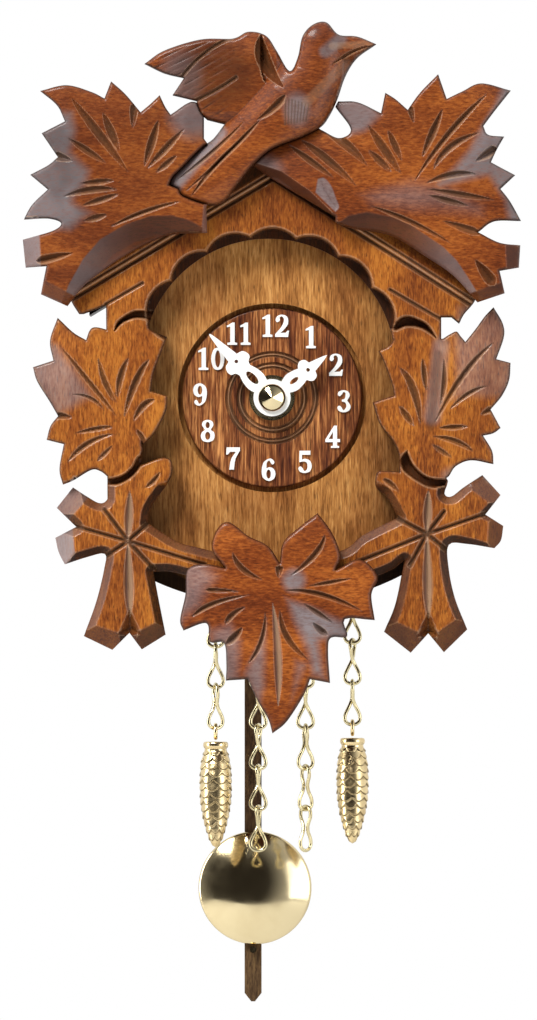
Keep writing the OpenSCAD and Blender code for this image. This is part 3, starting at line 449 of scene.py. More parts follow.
class Relief:
    """Heights over a board's back, with the stains, wear, painted shade, painted highlights and
    painted sheen that go with the cuts.
    """

    def __init__(self, points, rim_gap, rim_spot, top):
        self.p = points
        self.rim = rim_gap
        out = rim_spot - points
        self.lit = (out @ LIT) / np.maximum(np.linalg.norm(out, axis=1), 0.05)
        self.top = float(top)
        self.h = np.full(len(points), self.top)
        self.marks = {name: np.zeros(len(points)) for name in MARKS}

    def mark(self, name, values, rows=slice(None)):
        """Raises a mark to the values, where they are higher."""
        marks = self.marks[name]
        marks[rows] = np.maximum(marks[rows], values)

    def blend(self, name, value, amount, rows=slice(None)):
        """Moves a mark towards the value."""
        marks = self.marks[name]
        marks[rows] = marks[rows] * (1 - amount) + value * amount

    def round_rim(self, width, drop, only=1.0):
        """Rounds the board's edge and darkens it with stain and painted shade, the shade most on
        the unlit side.
        """
        part = np.clip(1 - self.rim / width, 0, 1)
        self.h -= drop * (1 - np.sqrt(1 - part ** 2 + 1e-9)) * only
        dark = smooth(1 - self.rim / (width * 1.2)) * (0.75 - 0.25 * self.lit)
        soft = 0.42 * np.exp(-self.rim / 1.2)
        brink = 0.95 * np.clip(1.7 - self.rim / 0.2, 0, 1)
        self.mark("edge", only * np.maximum(np.maximum(dark, soft), brink))

    def chamfer(self, width, drop, only):
        """Bevels the edge where only is 1, with painted shade on the bevel, least on the lit side,
        and painted sheen on its lit side.
        """
        plane = self.top - drop * np.clip(1 - self.rim / width, 0, 1)
        cut = np.where(plane < self.h, self.h - plane, 0) * only
        self.h -= cut
        self.mark("edge", only * (smooth(cut / 0.25) * (0.8 - 0.3 * self.lit)))
        self.mark("haze", 0.3 * smooth(cut / 0.25) * np.clip(self.lit, 0, 1))

    def fall(self, start, end, drop, power=1.5):
        """Lowers the surface smoothly from the line at start towards the line at end."""
        start, end = np.array(start, float), np.array(end, float)
        run = end - start
        t = ((self.p - start) @ run) / (run @ run)
        self.h -= drop * np.clip(t, 0, 1.6) ** power

    def spot(self, name, centre, size, amount):
        """Marks an oval, most at its centre and fading out at its edge."""
        away = np.linalg.norm((self.p - np.array(centre)) / size, axis=1)
        self.mark(name, amount * smooth(1.5 - 1.5 * away))

    def streak(self, name, start, end, width, amount):
        """Marks a band along a line."""
        gap = segment_distance(self.p, *np.array([[start], [end]], float))[0]
        self.mark(name, amount * smooth(1.4 - 1.4 * gap / width))

    def area(self, corners, spacing):
        """The points round an area given as X, Z, X, Z..., how near its edge, and if inside."""
        loop = resample(np.array(corners, float).reshape(-1, 2), spacing, corner=60)
        rows, gap, _, _ = self.near(loop, np.roll(loop, -1, 0), 0)
        return rows, gap, inside(self.p[rows], [loop])

    def wash(self, name, corners, amount, soft):
        """Marks the area inside the corners, fading in over the soft width."""
        rows, gap, within = self.area(corners, 0.6)
        self.mark(name, amount * np.where(within, smooth(gap / soft), 0), rows)

    def near(self, starts, ends, reach):
        """The points close to the segments, with their distance, segment and place along it."""
        low = np.minimum(starts, ends).min(0) - reach
        high = np.maximum(starts, ends).max(0) + reach
        rows = np.nonzero(((self.p > low) & (self.p < high)).all(1))[0]
        return (rows, *segment_distance(self.p[rows], starts, ends))

    def gouge(self, *route, width, depth, lead=0.5, pale=0.0):
        """A lens-shaped cut along the route.

        lead is where along it the cut is widest, and pale how much painted sheen and painted
        highlight it gets in place of its dark stain.
        """
        starts, ends = route_segments(route)
        rows, gap, which, place = self.near(starts, ends, width + 0.5)
        t = (which + place) / len(starts)
        swell = np.where(t < lead, t / lead, (1 - t) / (1 - lead))
        swell = np.sin(np.clip(swell, 0, 1) * math.pi / 2) ** 0.8
        half = np.maximum(width * 0.54 * swell, 1e-3)
        d = np.clip(1 - gap / half, 0, 1)
        self.h[rows] -= 1.2 * depth * swell * d ** 0.7
        spot = starts[which] + place[:, None] * (ends - starts)[which]
        side = ((self.p[rows] - spot) @ LIT) / half
        within = np.clip(3 - 2.6 * gap / half, 0, 1) * smooth(swell * 3)
        self.mark("cut", 0.9 * (1 - pale) * smooth(d * 2.2) * swell, rows)
        self.mark("haze", 0.6 * pale * smooth(d * 2.5), rows)
        # Painted shade on the wall turned from the light, painted highlight on the wall turned
        # towards it
        dark = 0.9 * (1 - 0.6 * pale) * within * np.exp(-((side - 0.45) / 0.4) ** 2)
        self.mark("edge", dark, rows)
        light = 0.65 * within * np.exp(-((side + 0.8) / 0.24) ** 2)
        light = np.maximum(light, pale * smooth(d * 3) * smooth((0.35 - side) / 0.3))
        self.blend("worn", 0, within, rows)
        self.mark("worn", light, rows)

    def gouges(self, *cuts):
        """Gouges in turn, each its width, its depth, its route as X, Z, X, Z... and its lead.

        The lead is left out where it is half.
        """
        for width, depth, *route in cuts:
            lead = route.pop() if len(route) % 2 else 0.5
            self.gouge(*zip(route[::2], route[1::2]), width=width, depth=depth, lead=lead)

    def groove(self, *route, width=0.9, depth=0.7, stain_and_shade=0.9):
        """A V-cut of the same width all along the route, darkened with stain and painted shade."""
        starts, ends = route_segments(route)
        rows, gap, _, _ = self.near(starts, ends, width + 0.5)
        d = np.clip(1 - gap / (width / 2), 0, 1)
        self.h[rows] -= depth * d
        self.mark("cut", stain_and_shade * np.clip(d * 1.8, 0, 1), rows)
        self.mark("edge", stain_and_shade * np.clip(d * 2 - 0.7, 0, 1), rows)

    def recess(self, corners, depth, wall=0.35, stain_and_shade=0.85, haze=0.0, far=(0, 1)):
        """Sinks the area inside the corners, down a slope as wide as the wall.

        Its painted sheen grows from nothing to full between the two distances from the middle; the
        sunken area is darkened with stain and painted shade.
        """
        rows, gap, within = self.area(corners, 0.4)
        self.h[rows] -= depth * np.where(within, np.clip(gap / wall, 0, 1), 0)
        amount = np.where(within, smooth(gap / 0.3), 0)
        grey = haze * smooth((np.abs(self.p[rows, 0]) - far[0]) / (far[1] - far[0]))
        self.blend("edge", stain_and_shade * (1 - 0.6 * grey), amount, rows)
        self.blend("haze", grey, amount, rows)

    def slice(self, a, b, slope, stain_and_shade=0.0, haze=0.0):
        """Cuts the surface down past the line from a to b, on the right of it, and colours the
        facet with stain, painted shade and painted sheen.
        """
        a, b = np.array(a, float), np.array(b, float)
        run = b - a
        size = np.linalg.norm(run)
        past = (self.p - a) @ np.array([run[1], -run[0]]) / size
        along = ((self.p - a) @ run) / size ** 2
        hit = (along > -0.3) & (along < 1.3) & (past > 0) & (past < 5)
        self.h[hit] -= past[hit] * slope
        amount = np.where(hit, smooth(past / 0.3), 0)
        self.blend("edge", stain_and_shade, amount)
        self.blend("haze", haze, amount)

    def pale_ridges_dark_hollows(self, faces):
        """Pales the ridges and darkens the hollows, from how each point stands to the next."""
        pairs = np.concatenate([faces[:, [0, 1]], faces[:, [1, 2]], faces[:, [2, 0]]])
        pairs = np.concatenate([pairs, pairs[:, ::-1]])
        number = np.bincount(pairs[:, 0], minlength=len(self.p))

        def around(values):
            return np.bincount(pairs[:, 0], values[pairs[:, 1]], len(self.p)) / number

        bend = self.h - around(self.h)
        bend[self.rim < 0.25] = 0
        bend = 0.5 * (bend + around(bend))
        quiet = 1 - np.clip(self.marks["cut"] * 1.5, 0, 1)
        # Wear and painted highlight on the ridges, painted shade in the hollows
        self.mark("worn", 0.5 * quiet * smooth((bend - 0.012) / 0.05))
        self.mark("edge", 0.8 * quiet * smooth((-bend - 0.008) / 0.035))
        self.marks["worn"] *= 1 - 0.8 * np.clip(1 - self.rim / 0.5, 0, 1)


def route_segments(route, steps=10):
    """Segments along a line through two points, or a curve bent by a third in the middle."""
    points = np.array(route, float)
    t = np.linspace(0, 1, steps + 1)[:, None]
    if len(points) == 2:
        line = points[0] * (1 - t) + points[1] * t
    else:
        control = 2 * points[1] - 0.5 * (points[0] + points[2])
        line = points[0] * (1 - t) ** 2 + control * 2 * t * (1 - t) + points[2] * t * t
    return line[:-1], line[1:]


def new_piece(name, verts, faces, body, slot, node, marks=None, sharp=0):
    """A mesh that replaces a CAD node; edges over the sharp angle, if any, stay sharp."""
    mesh = bpy.data.meshes.new(name)
    mesh.from_pydata([tuple(v) for v in np.asarray(verts) * MM], [], faces)
    mesh.validate()
    for key, values in (marks or {}).items():
        data = mesh.attributes.new(key, "FLOAT", "POINT")
        data.data.foreach_set("value", np.asarray(values, np.float32))
    mesh.materials.append(MATERIALS[slot])
    mesh.shade_smooth()
    if sharp:
        mesh.set_sharp_from_angle(angle=math.radians(sharp))
    piece = bpy.data.objects.new(name, mesh)
    bpy.context.collection.objects.link(piece)
    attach(piece, body)
    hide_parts(node)


# How far apart the points of a carved face are
LEAF_PITCH = 0.2
FRAME_PITCH = 0.25


def carved_board(node, name, slot, back, top, pitch, shape):
    """Replaces an upright board with one whose front is carved by shape(relief)."""
    loops = [resample(loop, pitch * 1.3) for loop in back_loops(node)]
    rim = np.concatenate(loops)
    links, base = [], 0
    for loop in loops:
        links += [(base + i, base + (i + 1) % len(loop)) for i in range(len(loop))]
        base += len(loop)
    # An equilateral grid fills the inside, clear of the border's own points
    low, high = rim.min(0), rim.max(0)
    columns = np.arange(low[0], high[0], pitch)
    rows = np.arange(low[1], high[1], pitch * 0.866)
    grid = np.stack(np.meshgrid(columns, rows), -1)
    grid[1::2, :, 0] += pitch / 2
    grid = grid.reshape(-1, 2)
    grid = grid[inside(grid, loops)]
    grid = grid[rim_distance(grid, loops)[0] > pitch * 0.55]
    flat = np.concatenate([rim, grid])
    done = delaunay_2d_cdt([Vector(p) for p in flat], links, [], 1, 1e-5)
    flat = np.array([tuple(p) for p in done[0]])
    faces = np.array(done[2])
    gap, rim_spot = rim_distance(flat, loops)
    gap[gap < 1e-4] = 0
    kept = np.ones(len(faces), bool)
    doubtful = (gap[faces] == 0).all(1)
    kept[doubtful] = inside(flat[faces[doubtful]].mean(1), loops)
    faces = faces[kept]
    relief = Relief(flat, gap, rim_spot, top)
    shape(relief)
    relief.h = np.maximum(relief.h, 0.6)
    relief.pale_ridges_dark_hollows(faces)
    # The border of the front, walked once, gives the side walls and the flat back
    edges = dict.fromkeys(edge for a, b, c in faces for edge in ((a, b), (b, c), (c, a)))
    border = [(a, b) for a, b in edges if (b, a) not in edges]
    rim_ids = sorted({a for a, _ in border})
    count = len(flat)
    under = {v: count + i for i, v in enumerate(rim_ids)}
    front = np.column_stack([flat[:, 0], back - relief.h, flat[:, 1]])
    behind = np.column_stack([flat[rim_ids, 0], np.full(len(rim_ids), back), flat[rim_ids, 1]])
    walls = [(a, under[a], under[b], b) for a, b in border]
    cover = delaunay_2d_cdt([Vector(flat[v]) for v in rim_ids],
                            [(under[a] - count, under[b] - count) for a, b in border], [], 1, 1e-6)
    # Its points may come back in another order, and each new one says which it was
    order = np.array([source[0] for source in cover[3]])
    tris = order[np.array(cover[2])]
    tris = tris[inside(flat[rim_ids][tris].mean(1), loops)]
    flat_back = (count + tris[:, ::-1]).tolist()
    verts = np.concatenate([front, behind])
    all_faces = faces.tolist() + walls + flat_back
    pad = np.zeros(len(behind))
    marks = {key: np.concatenate([values, pad + (0.9 if key == "edge" else 0)])
             for key, values in relief.marks.items()}
    new_piece(name, verts, all_faces, "case", slot, node, marks, sharp=50)


def shape_left_crown(r):
    r.fall((-40, 14), (-52, 12), 2.2)
    r.fall((-36, 24), (-38, 36), 1.0)
    r.fall((-24, 20), (-13, 30), 2.0)
    r.round_rim(0.8, 0.6)
    # Painted shade darkens the whole crown
    r.mark("edge", 0.38)
    lobes = [-56, 30, -41, 29, -40, 24, -41, 20, -37, 16, -38, 12.5, -40.5, 9.5, -36, 7, -42, 2,
        -56, 3]
    # Painted sheen over the outer lobes and the top corner lobe, with painted shade over them
    r.wash("haze", lobes, 1.0, 3)
    r.wash("edge", lobes, 0.42, 4)
    r.spot("haze", (-16.5, 27.5), (7, 7), 0.8)
    r.spot("edge", (-15, 26), (7, 9), 0.5)
    r.gouges(
        (1.7, 1.0, -42.4, 31.2, -30, 15.1, 0.45), (1.6, 0.9, -35.6, 28, -32, 19.6),
        (1.3, 0.8, -43.1, 22.6, -34.7, 17.1), (1.6, 1.0, -28.9, 29.6, -29.3, 24.4, 0.1),
        (1.6, 1.0, -23.8, 26.4, -26.8, 16.4), (1.4, 0.8, -18.3, 24.6, -26.3, 16),
        (1.2, 0.7, -19.9, 18.9, -24.5, 15.1), (1.7, 1.2, -45.6, 18.9, -41.8, 17.6, 0.1),
        (1.2, 0.7, -32.9, 13.6, -40.4, 12.9), (1.4, 0.8, -32.4, 11.6, -38, 11.6, -44, 10.1),
        (1.2, 0.7, -32, 10.8, -40, 8.2), (1.3, 0.7, -34.5, 6.4, -39.7, 5))
    shape_left_branch(r)


def shape_left_branch(r):
    r.gouge((-34.3, 3.6), (-27, 6.9), (-18.8, 9.3), width=0.9, depth=0.7)
    # Painted shade in the sunken area under the branch, painted sheen towards its outer end; the
    # sliced ends get painted shade and painted sheen
    r.recess([-12, 0, -14.2, 3.6, -17.5, 5.3, -21, 6.3, -25.6, 6.2, -30.8, 4.4, -36.1, 1.3,
        -39.8, -2.9, -42.9, -8.5, -46.4, -18, -32, -18, -22, -7], 2.8, 4.2, 0.85, 0.75, (26, 40))
    r.gouge((-49.6, -3.4), (-41.6, -1.6), width=1.7, depth=1.3, lead=0.2)
    r.slice((-48.8, 3.5), (-48.4, -4.7), 0.7, 0.35, 0.85)
    r.slice((-47.6, -7.4), (-42.2, -10.2), 0.9, 0.6)
    r.slice((-14.9, 2.2), (-14.4, 8.6), 0.8, 0.4, 0.4)


def shape_right_crown(r):
    r.fall((40, 14), (52, 18), 1.6)
    r.fall((44, 28), (50, 36), 1.4)
    r.fall((22, 22), (14, 31), 1.4)
    r.round_rim(0.8, 0.6)
    # Painted shade darkens the whole crown
    r.mark("edge", 0.24)
    lobes = [33, 12.6, 37.5, 17, 40.5, 20.5, 43, 25, 46, 30, 48, 35, 56, 38, 56, 1, 49, 2, 48, 9,
        45, 13.5, 40, 12.3, 35, 11]
    # Painted sheen over the outer lobes, the middle and the left end, with painted shade over some
    # of them
    r.wash("haze", lobes, 0.95, 2.5)
    r.wash("edge", lobes, 0.34, 4)
    r.wash("haze", [16, 11, 22, 13.5, 29, 15.5, 38, 14.5, 46, 9, 46, 4, 38, 5, 29, 5.5, 20, 7],
        0.42, 5)
    inner = [10, 34, 20, 33, 24, 27, 20, 23, 16, 22, 11, 26]
    r.wash("haze", inner, 0.8, 2.5)
    r.wash("edge", inner, 0.35, 3)
    r.spot("haze", (-3, 15.5), (7, 5), 0.7)
    r.gouges(
        (1.2, 0.8, 45.5, 32, 37, 23.2, 29.6, 12.9, 0.4), (1.5, 0.9, 35.9, 28.7, 31.5, 18.3),
        (1.4, 0.8, 44, 23.7, 37.5, 20.6, 33.9, 15.7), (1.2, 0.8, 29, 29, 29.8, 25.6, 0.1),
        (1.7, 1.0, 20, 25.4, 27.2, 14.8), (1.3, 0.8, 24.3, 24.3, 27.3, 17.7),
        (1.4, 0.8, 20.2, 20, 25.2, 15.3), (2.0, 1.3, 47.2, 20.4, 42.6, 17.5, 0.15),
        (1.4, 0.8, 43.1, 14.8, 38, 14.8, 32.2, 12.9), (1.2, 0.7, 47, 9.4, 32.2, 11.8),
        (1.2, 0.7, 41.5, 8.1, 32.6, 10.5), (1.6, 0.8, 44, 2.3, 35.6, 5.1, 0.25),
        (1.9, 1.0, 10.4, 24.3, 15, 21.6, 20.3, 16.4), (1.2, 0.8, 3.3, 21.2, 13.1, 14),
        (1.6, 0.9, 5.9, 22.2, 11.5, 18, 17.9, 12.3))
    shape_right_branch(r)


def shape_right_branch(r):
    r.gouge((20.2, 8.3), (28.9, 5), (38.1, 0), width=0.9, depth=0.7)
    # Painted shade in the sunken areas, painted sheen towards the outer end and on the grey end
    # facet
    r.recess([13, 4, 16, 6.2, 20, 7.0, 25.2, 6.0, 29.2, 4.3, 32.6, 2.0, 36, -0.3, 38.8, -3.1,
        41.1, -6.5, 43.4, -10.2, 46, -20, 30, -15, 20, -8, 10, -4], 2.8, 4.0, 0.8, 0.7, (26, 40))
    r.gouge((46.8, -8.4), (42.6, -3.0), width=2.2, depth=1.6, lead=0.2)
    r.slice((49.3, -5.4), (48.9, 1.4), 0.9, 0.7)
    r.slice((42.9, -9.6), (47.6, -8.0), 0.9, 0.7)
    r.recess([9.5, 14, 11, 14.2, 12.5, 12.5, 13.5, 10, 14.2, 8, 13.3, 6.8, 12, 8, 9, 11], 1.1, 3.0,
        0.25, 0.8)
    # Painted shadow of the bird on the board below it
    r.recess([-14, 14, -14, 20, -4, 17.6, 2, 15.6, 8, 11.4, 12.6, 7.0, 12, 2, 0, 6], 2.4, 1.8, 0.75)


def shape_bottom_leaf(r):
    r.fall((-6, -72), (-19, -74), 1.8)
    r.fall((7, -74), (22, -72), 1.2)
    r.fall((0, -64), (0, -56), 0.8)
    r.fall((0, -86), (0, -102), 1.6)
    r.round_rim(0.9, 0.8)
    # Painted sheen over the outer lobes, standing in for the lacquer's reflection
    r.wash("haze", [1.6, -72.8, 8, -74.8, 15, -78, 19, -80, 15, -86, 11, -84, 12.4, -93, 7.5, -91,
        6.5, -86, 3.5, -79], 0.95, 2.8)
    r.wash("haze", [-25, -64, -14, -65, -9, -69.5, -12, -73, -14, -77, -19, -81, -25, -82], 0.6, 4)
    r.wash("haze", [-14, -80, -8, -78, -5.4, -83, -5.6, -88, -6, -94, -14, -93], 0.65, 3)
    r.wash("haze", [-7, -90, -3, -82, -0.6, -76, -0.4, -84, -0.6, -93, -2.5, -100], 0.75, 2.6)
    r.wash("haze", [4, -86, 9, -87, 5, -96, 3, -98], 0.5, 2.6)
    r.spot("haze", (4.6, -70.4), (3.4, 3.4), 0.9)
    r.gouges(
        (1.1, 0.8, -8.3, -64.3, -6.2, -68, -1.7, -70.4),
        (1.2, 0.8, 11.2, -60.6, 9, -65, 3.7, -69.6), (0.9, 0.6, -14, -72.4, -6.6, -72.8, 0.15),
        (1.0, 0.7, -16.9, -78.2, -12, -75.2, -4.2, -73.4, 0.3),
        (1.2, 0.7, -9.8, -79.7, -8.1, -77.5, -5.3, -75.9, 0.3),
        (0.9, 0.7, -5.2, -88.2, -2.2, -83, -1.4, -76.6, 0.4))
    r.gouge((0.1, -75), (1.2, -85.3), (1.3, -97), width=1.6, depth=0.9, lead=0.6, pale=0.8)
    r.gouges(
        (1.2, 0.8, 1.7, -76.4, 3.2, -82.4, 7.9, -87.3), (1.0, 0.7, 6.4, -75.2, 12.8, -79.4),
        (1.0, 0.8, 2.4, -72.6, 10.3, -73.4, 19.4, -77.2), (0.8, 0.6, 7.5, -71.7, 16.9, -70.0),
        (1.4, 1.0, 8.6, -79.2, 9.8, -80.6, 11.8, -82, 0.7),
        (1.6, 1.0, -6.2, -80.2, -7.6, -82, -9.8, -84, 0.7), (1.6, 0.8, 1.4, -70, 1.6, -67.4, 0.9))


LEFT_CROSS = (-30.3, -62.2)
RIGHT_CROSS = (32.6, -60.7)
ARCH = (-0.7, -25.2)
SCALLOP_R = 6.8
SCALLOP_ORBIT = 22.3
SCALLOP_STEP = 20.4


def shape_frame(r):
    x, z = r.p[:, 0], r.p[:, 1]
    branches = smooth((-49.5 - z) / 1.5)
    r.round_rim(0.7, 0.5, only=1 - branches)
    for i in range(-3, 4):
        a = math.radians(88 - SCALLOP_STEP * i)
        centre = np.array(ARCH) + SCALLOP_ORBIT * np.array([math.cos(a), math.sin(a)])
        within = SCALLOP_R - np.linalg.norm(r.p - centre, axis=1)
        amount = smooth(within / 0.5)
        r.h = np.minimum(r.h, FRAME_T - 5.2 * amount)
        # Thumbnail cuts darkened with stain and painted shade
        r.mark("edge", amount)
    for sign, start, end in ((1, (-42.6, -11.7), (0, 13.95)), (-1, (43.2, -13.5), (0, 14.2))):
        run = np.array(end) - np.array(start)
        across = np.array([-run[1], run[0]]) * sign / np.linalg.norm(run)
        past = (r.p - start) @ across
        band = np.where((z > -13) & (np.abs(x) < 46), np.clip(past - 1.4, 0, 3), 0)
        r.h -= 0.5 * band
        # Painted shadow of the bird on the band near the apex
        middle = smooth((15 - np.abs(x - 1)) / 4)
        r.mark("edge", 0.9 * middle * smooth(band / 0.8))
        bead = np.exp(-((past - 0.65) / 0.22) ** 2) * (z > -14)
        r.mark("worn", 0.8 * bead)
        r.groove(start, end, width=1.0, depth=0.9)
        r.groove(start + 1.25 * across, end + 1.25 * across, width=0.7, depth=0.5)
    r.groove((-27.2, -7.9), (-35, -12.4))
    r.groove((24.8, -9.3), (35.6, -15.6))
    # Painted shade at the right eave
    r.spot("edge", (42, -12.5), (4, 6), 0.6)
    shape_side_leaves(r)
    shape_crosses(r, branches)


def shape_side_leaves(r):
    # The thumbnail cuts are darkened with stain and painted shade
    r.recess([-33.4, -18.6, -32.6, -16, -29.6, -13.9, -27.4, -13.6, -25, -13.9, -24, -16,
        -26, -15.7, -28.6, -15.4, -31, -16.2, -32.4, -17.4], 2.6, 0.5)
    r.recess([35, -20, 33, -16.8, 30.8, -15.4, 28.6, -14.8, 26.8, -15.3, 25, -17.4, 26.1, -18,
        28.1, -17.2, 30.4, -17.3, 32.6, -18.2], 2.6, 0.5)
    r.recess([-37, -47, -34.8, -48.8, -31.8, -48.3, -29.6, -46.6, -28.4, -44.5, -26.6, -43.6,
        -27, -45.6, -29, -48.4, -32, -50.3, -35.4, -50.6], 2.4, 0.5)
    r.recess([37.4, -47.6, 36.6, -49.1, 32.8, -48.6, 30, -46.3, 28.4, -43, 27, -44.8, 27.6, -47.4,
        30.4, -49.6, 33.4, -51, 36.6, -50.8], 2.4, 0.5)
    r.gouges(
        (0.9, 0.7, -45, -20.6, -32.1, -36.6), (1.1, 0.7, -36.6, -23.2, -35, -29, -32.5, -33.2),
        (1.3, 0.8, -30, -23.4, -31.8, -27.6, -32.4, -32.4),
        (1.4, 0.9, -25.6, -23.8, -28.6, -28.6, -31.2, -36.6),
        (1.3, 0.8, -24.4, -32.5, -27, -33.7, -29.2, -37.2),
        (1.0, 0.7, -26.6, -41.6, -27.4, -40.2, -28.6, -38.6),
        (0.7, 0.5, -42.4, -31.3, -38, -32.2, -35.1, -35), (1.4, 0.9, -45.2, -35.7, -42, -36.2, 0.1),
        (0.9, 0.6, -41.6, -39.6, -37, -38.6, -33.2, -38.2),
        (1.1, 0.7, -43.1, -45.8, -38.6, -41.6, -32.7, -39.6, 0.4),
        (0.9, 0.5, -36.9, -45.5, -33.4, -42))
    r.fall((-42, -30), (-50, -27), 1.2)
    # Painted sheen over the outer lobes, and painted shade along the right leaf's fold
    r.wash("haze", [-54, -18, -44.5, -19.8, -40, -26, -36, -32, -41, -35, -46, -38, -54, -34], 0.6,
        3)
    r.wash("haze", [38, -12, 37, -20, 37.5, -28, 36, -34, 42, -33, 54, -34, 54, -8], 0.42, 3)
    r.streak("haze", (35.6, -21), (33.8, -36), 2.6, 0.55)
    r.streak("edge", (34.9, -23), (33.4, -38), 1.6, 0.5)
    r.streak("haze", (44, -48), (38, -49), 3.5, 0.5)
    r.gouges(
        (1.2, 0.8, 46.9, -20.3, 40.4, -27, 33.7, -38.4),
        (0.9, 0.6, 45.4, -29.6, 41.3, -31.2, 37, -34.9),
        (1.1, 0.7, 36.1, -23.4, 36.2, -29, 35.3, -33.8), (1.0, 0.7, 31.6, -23.5, 32.5, -30.8),
        (1.5, 0.9, 26.7, -25.6, 29.8, -30.4, 31.4, -38.2), (1.2, 0.8, 26.7, -33.6, 29.9, -38.1),
        (1.0, 0.7, 41.5, -38.1, 34.9, -38.4), (1.1, 0.7, 42.6, -43.6, 38.6, -41.2, 33.7, -40.2),
        (0.9, 0.5, 38, -44.8, 33.4, -41.7), (1.2, 0.8, 46.2, -34.3, 43.8, -35.7, 0.1))
    r.fall((42, -24), (51, -25), 1.0)


def shape_crosses(r, branches):
    # The sliced facets get painted shade and painted sheen, the chamfered branches and the sunken
    # triangles painted shade
    r.slice((-38.7, -53.2), (-42.6, -57.8), 0.8, 0.4, 0.6)
    r.slice((-41.7, -60.4), (-41.2, -66.2), 0.8, 0.25, 0.8)
    r.slice((-38.6, -79.3), (-31.2, -81.8), 0.9, 0.5)
    r.slice((-28.8, -81.4), (-23.2, -78.6), 0.9, 0.8)
    r.slice((45.6, -54.2), (41.2, -51), 0.8, 0.55, 0.2)
    r.slice((45.2, -63.4), (45.6, -57.2), 0.8, 0.65)
    r.slice((33.8, -82), (40, -77.6), 0.9, 0.7)
    r.slice((24.6, -78.4), (31.6, -81.6), 0.9, 0.65)
    r.chamfer(1.7, 1.7, branches)
    for centre, up, down, out, inward in (
            (LEFT_CROSS, (-29.9, -51.6), (-29.9, -78.4), (-41.6, -59), (-14, -67.2)),
            (RIGHT_CROSS, (32.9, -51.4), (32.9, -78.9), (45, -56.4), (18, -66.6))):
        r.gouge(centre, up, width=1.6, depth=1.0, lead=0.45, pale=0.8)
        r.gouge(centre, down, width=1.8, depth=1.1, lead=0.6, pale=0.85)
        r.groove(centre, out, width=1.1, depth=0.9)
        r.groove(centre, inward, width=1.1, depth=0.9)
    for start, end in (((-35.2, -55.6), LEFT_CROSS), ((-26.3, -58.7), LEFT_CROSS),
                       ((-35, -65.4), LEFT_CROSS), ((-24.9, -68), LEFT_CROSS),
                       ((26.4, -57.4), RIGHT_CROSS), ((36.6, -64), RIGHT_CROSS),
                       ((36.2, -56), RIGHT_CROSS), ((29, -67.3), RIGHT_CROSS)):
        r.groove(start, end, width=1.2, depth=1.0)
    for centre in (LEFT_CROSS, RIGHT_CROSS):
        gap = np.linalg.norm(r.p - np.array(centre), axis=1)
        r.h = np.where(gap < 1.6, np.maximum(r.h, r.top - 0.7 - 0.5 * gap), r.h)
        np.minimum(r.marks["edge"], 0.5, out=r.marks["edge"], where=gap < 1.0)
    r.gouges(
        (1.0, 0.7, -26.8, -51, -25, -49.6, -23.4, -47.5),
        (1.0, 0.7, 23.2, -49.2, 24.8, -50, 27, -52.1))
    r.recess([-29.9, -76.2, -32.6, -82, -27.2, -82], 1.6, 1.4, 0.6)
    r.recess([32.9, -76.6, 30.2, -82.4, 35.4, -82.4], 1.6, 1.4, 0.6)


def ridge(points, route, radii, tops):
    """Height of a rounded ridge along the route, with its radius and top height at each point."""
    route = np.array(route, float)
    starts, ends = route[:-1], route[1:]
    gap, which, place = segment_distance(points, starts, ends)
    radii, tops = np.array(radii, float), np.array(tops, float)
    radius = radii[which] * (1 - place) + radii[which + 1] * place
    top = tops[which] * (1 - place) + tops[which + 1] * place
    t = np.clip(gap / radius, 0, 1)
    return top - radius * 0.62 * (1 - np.sqrt(1 - 0.96 * t * t)) - np.clip(gap - radius, 0, None)


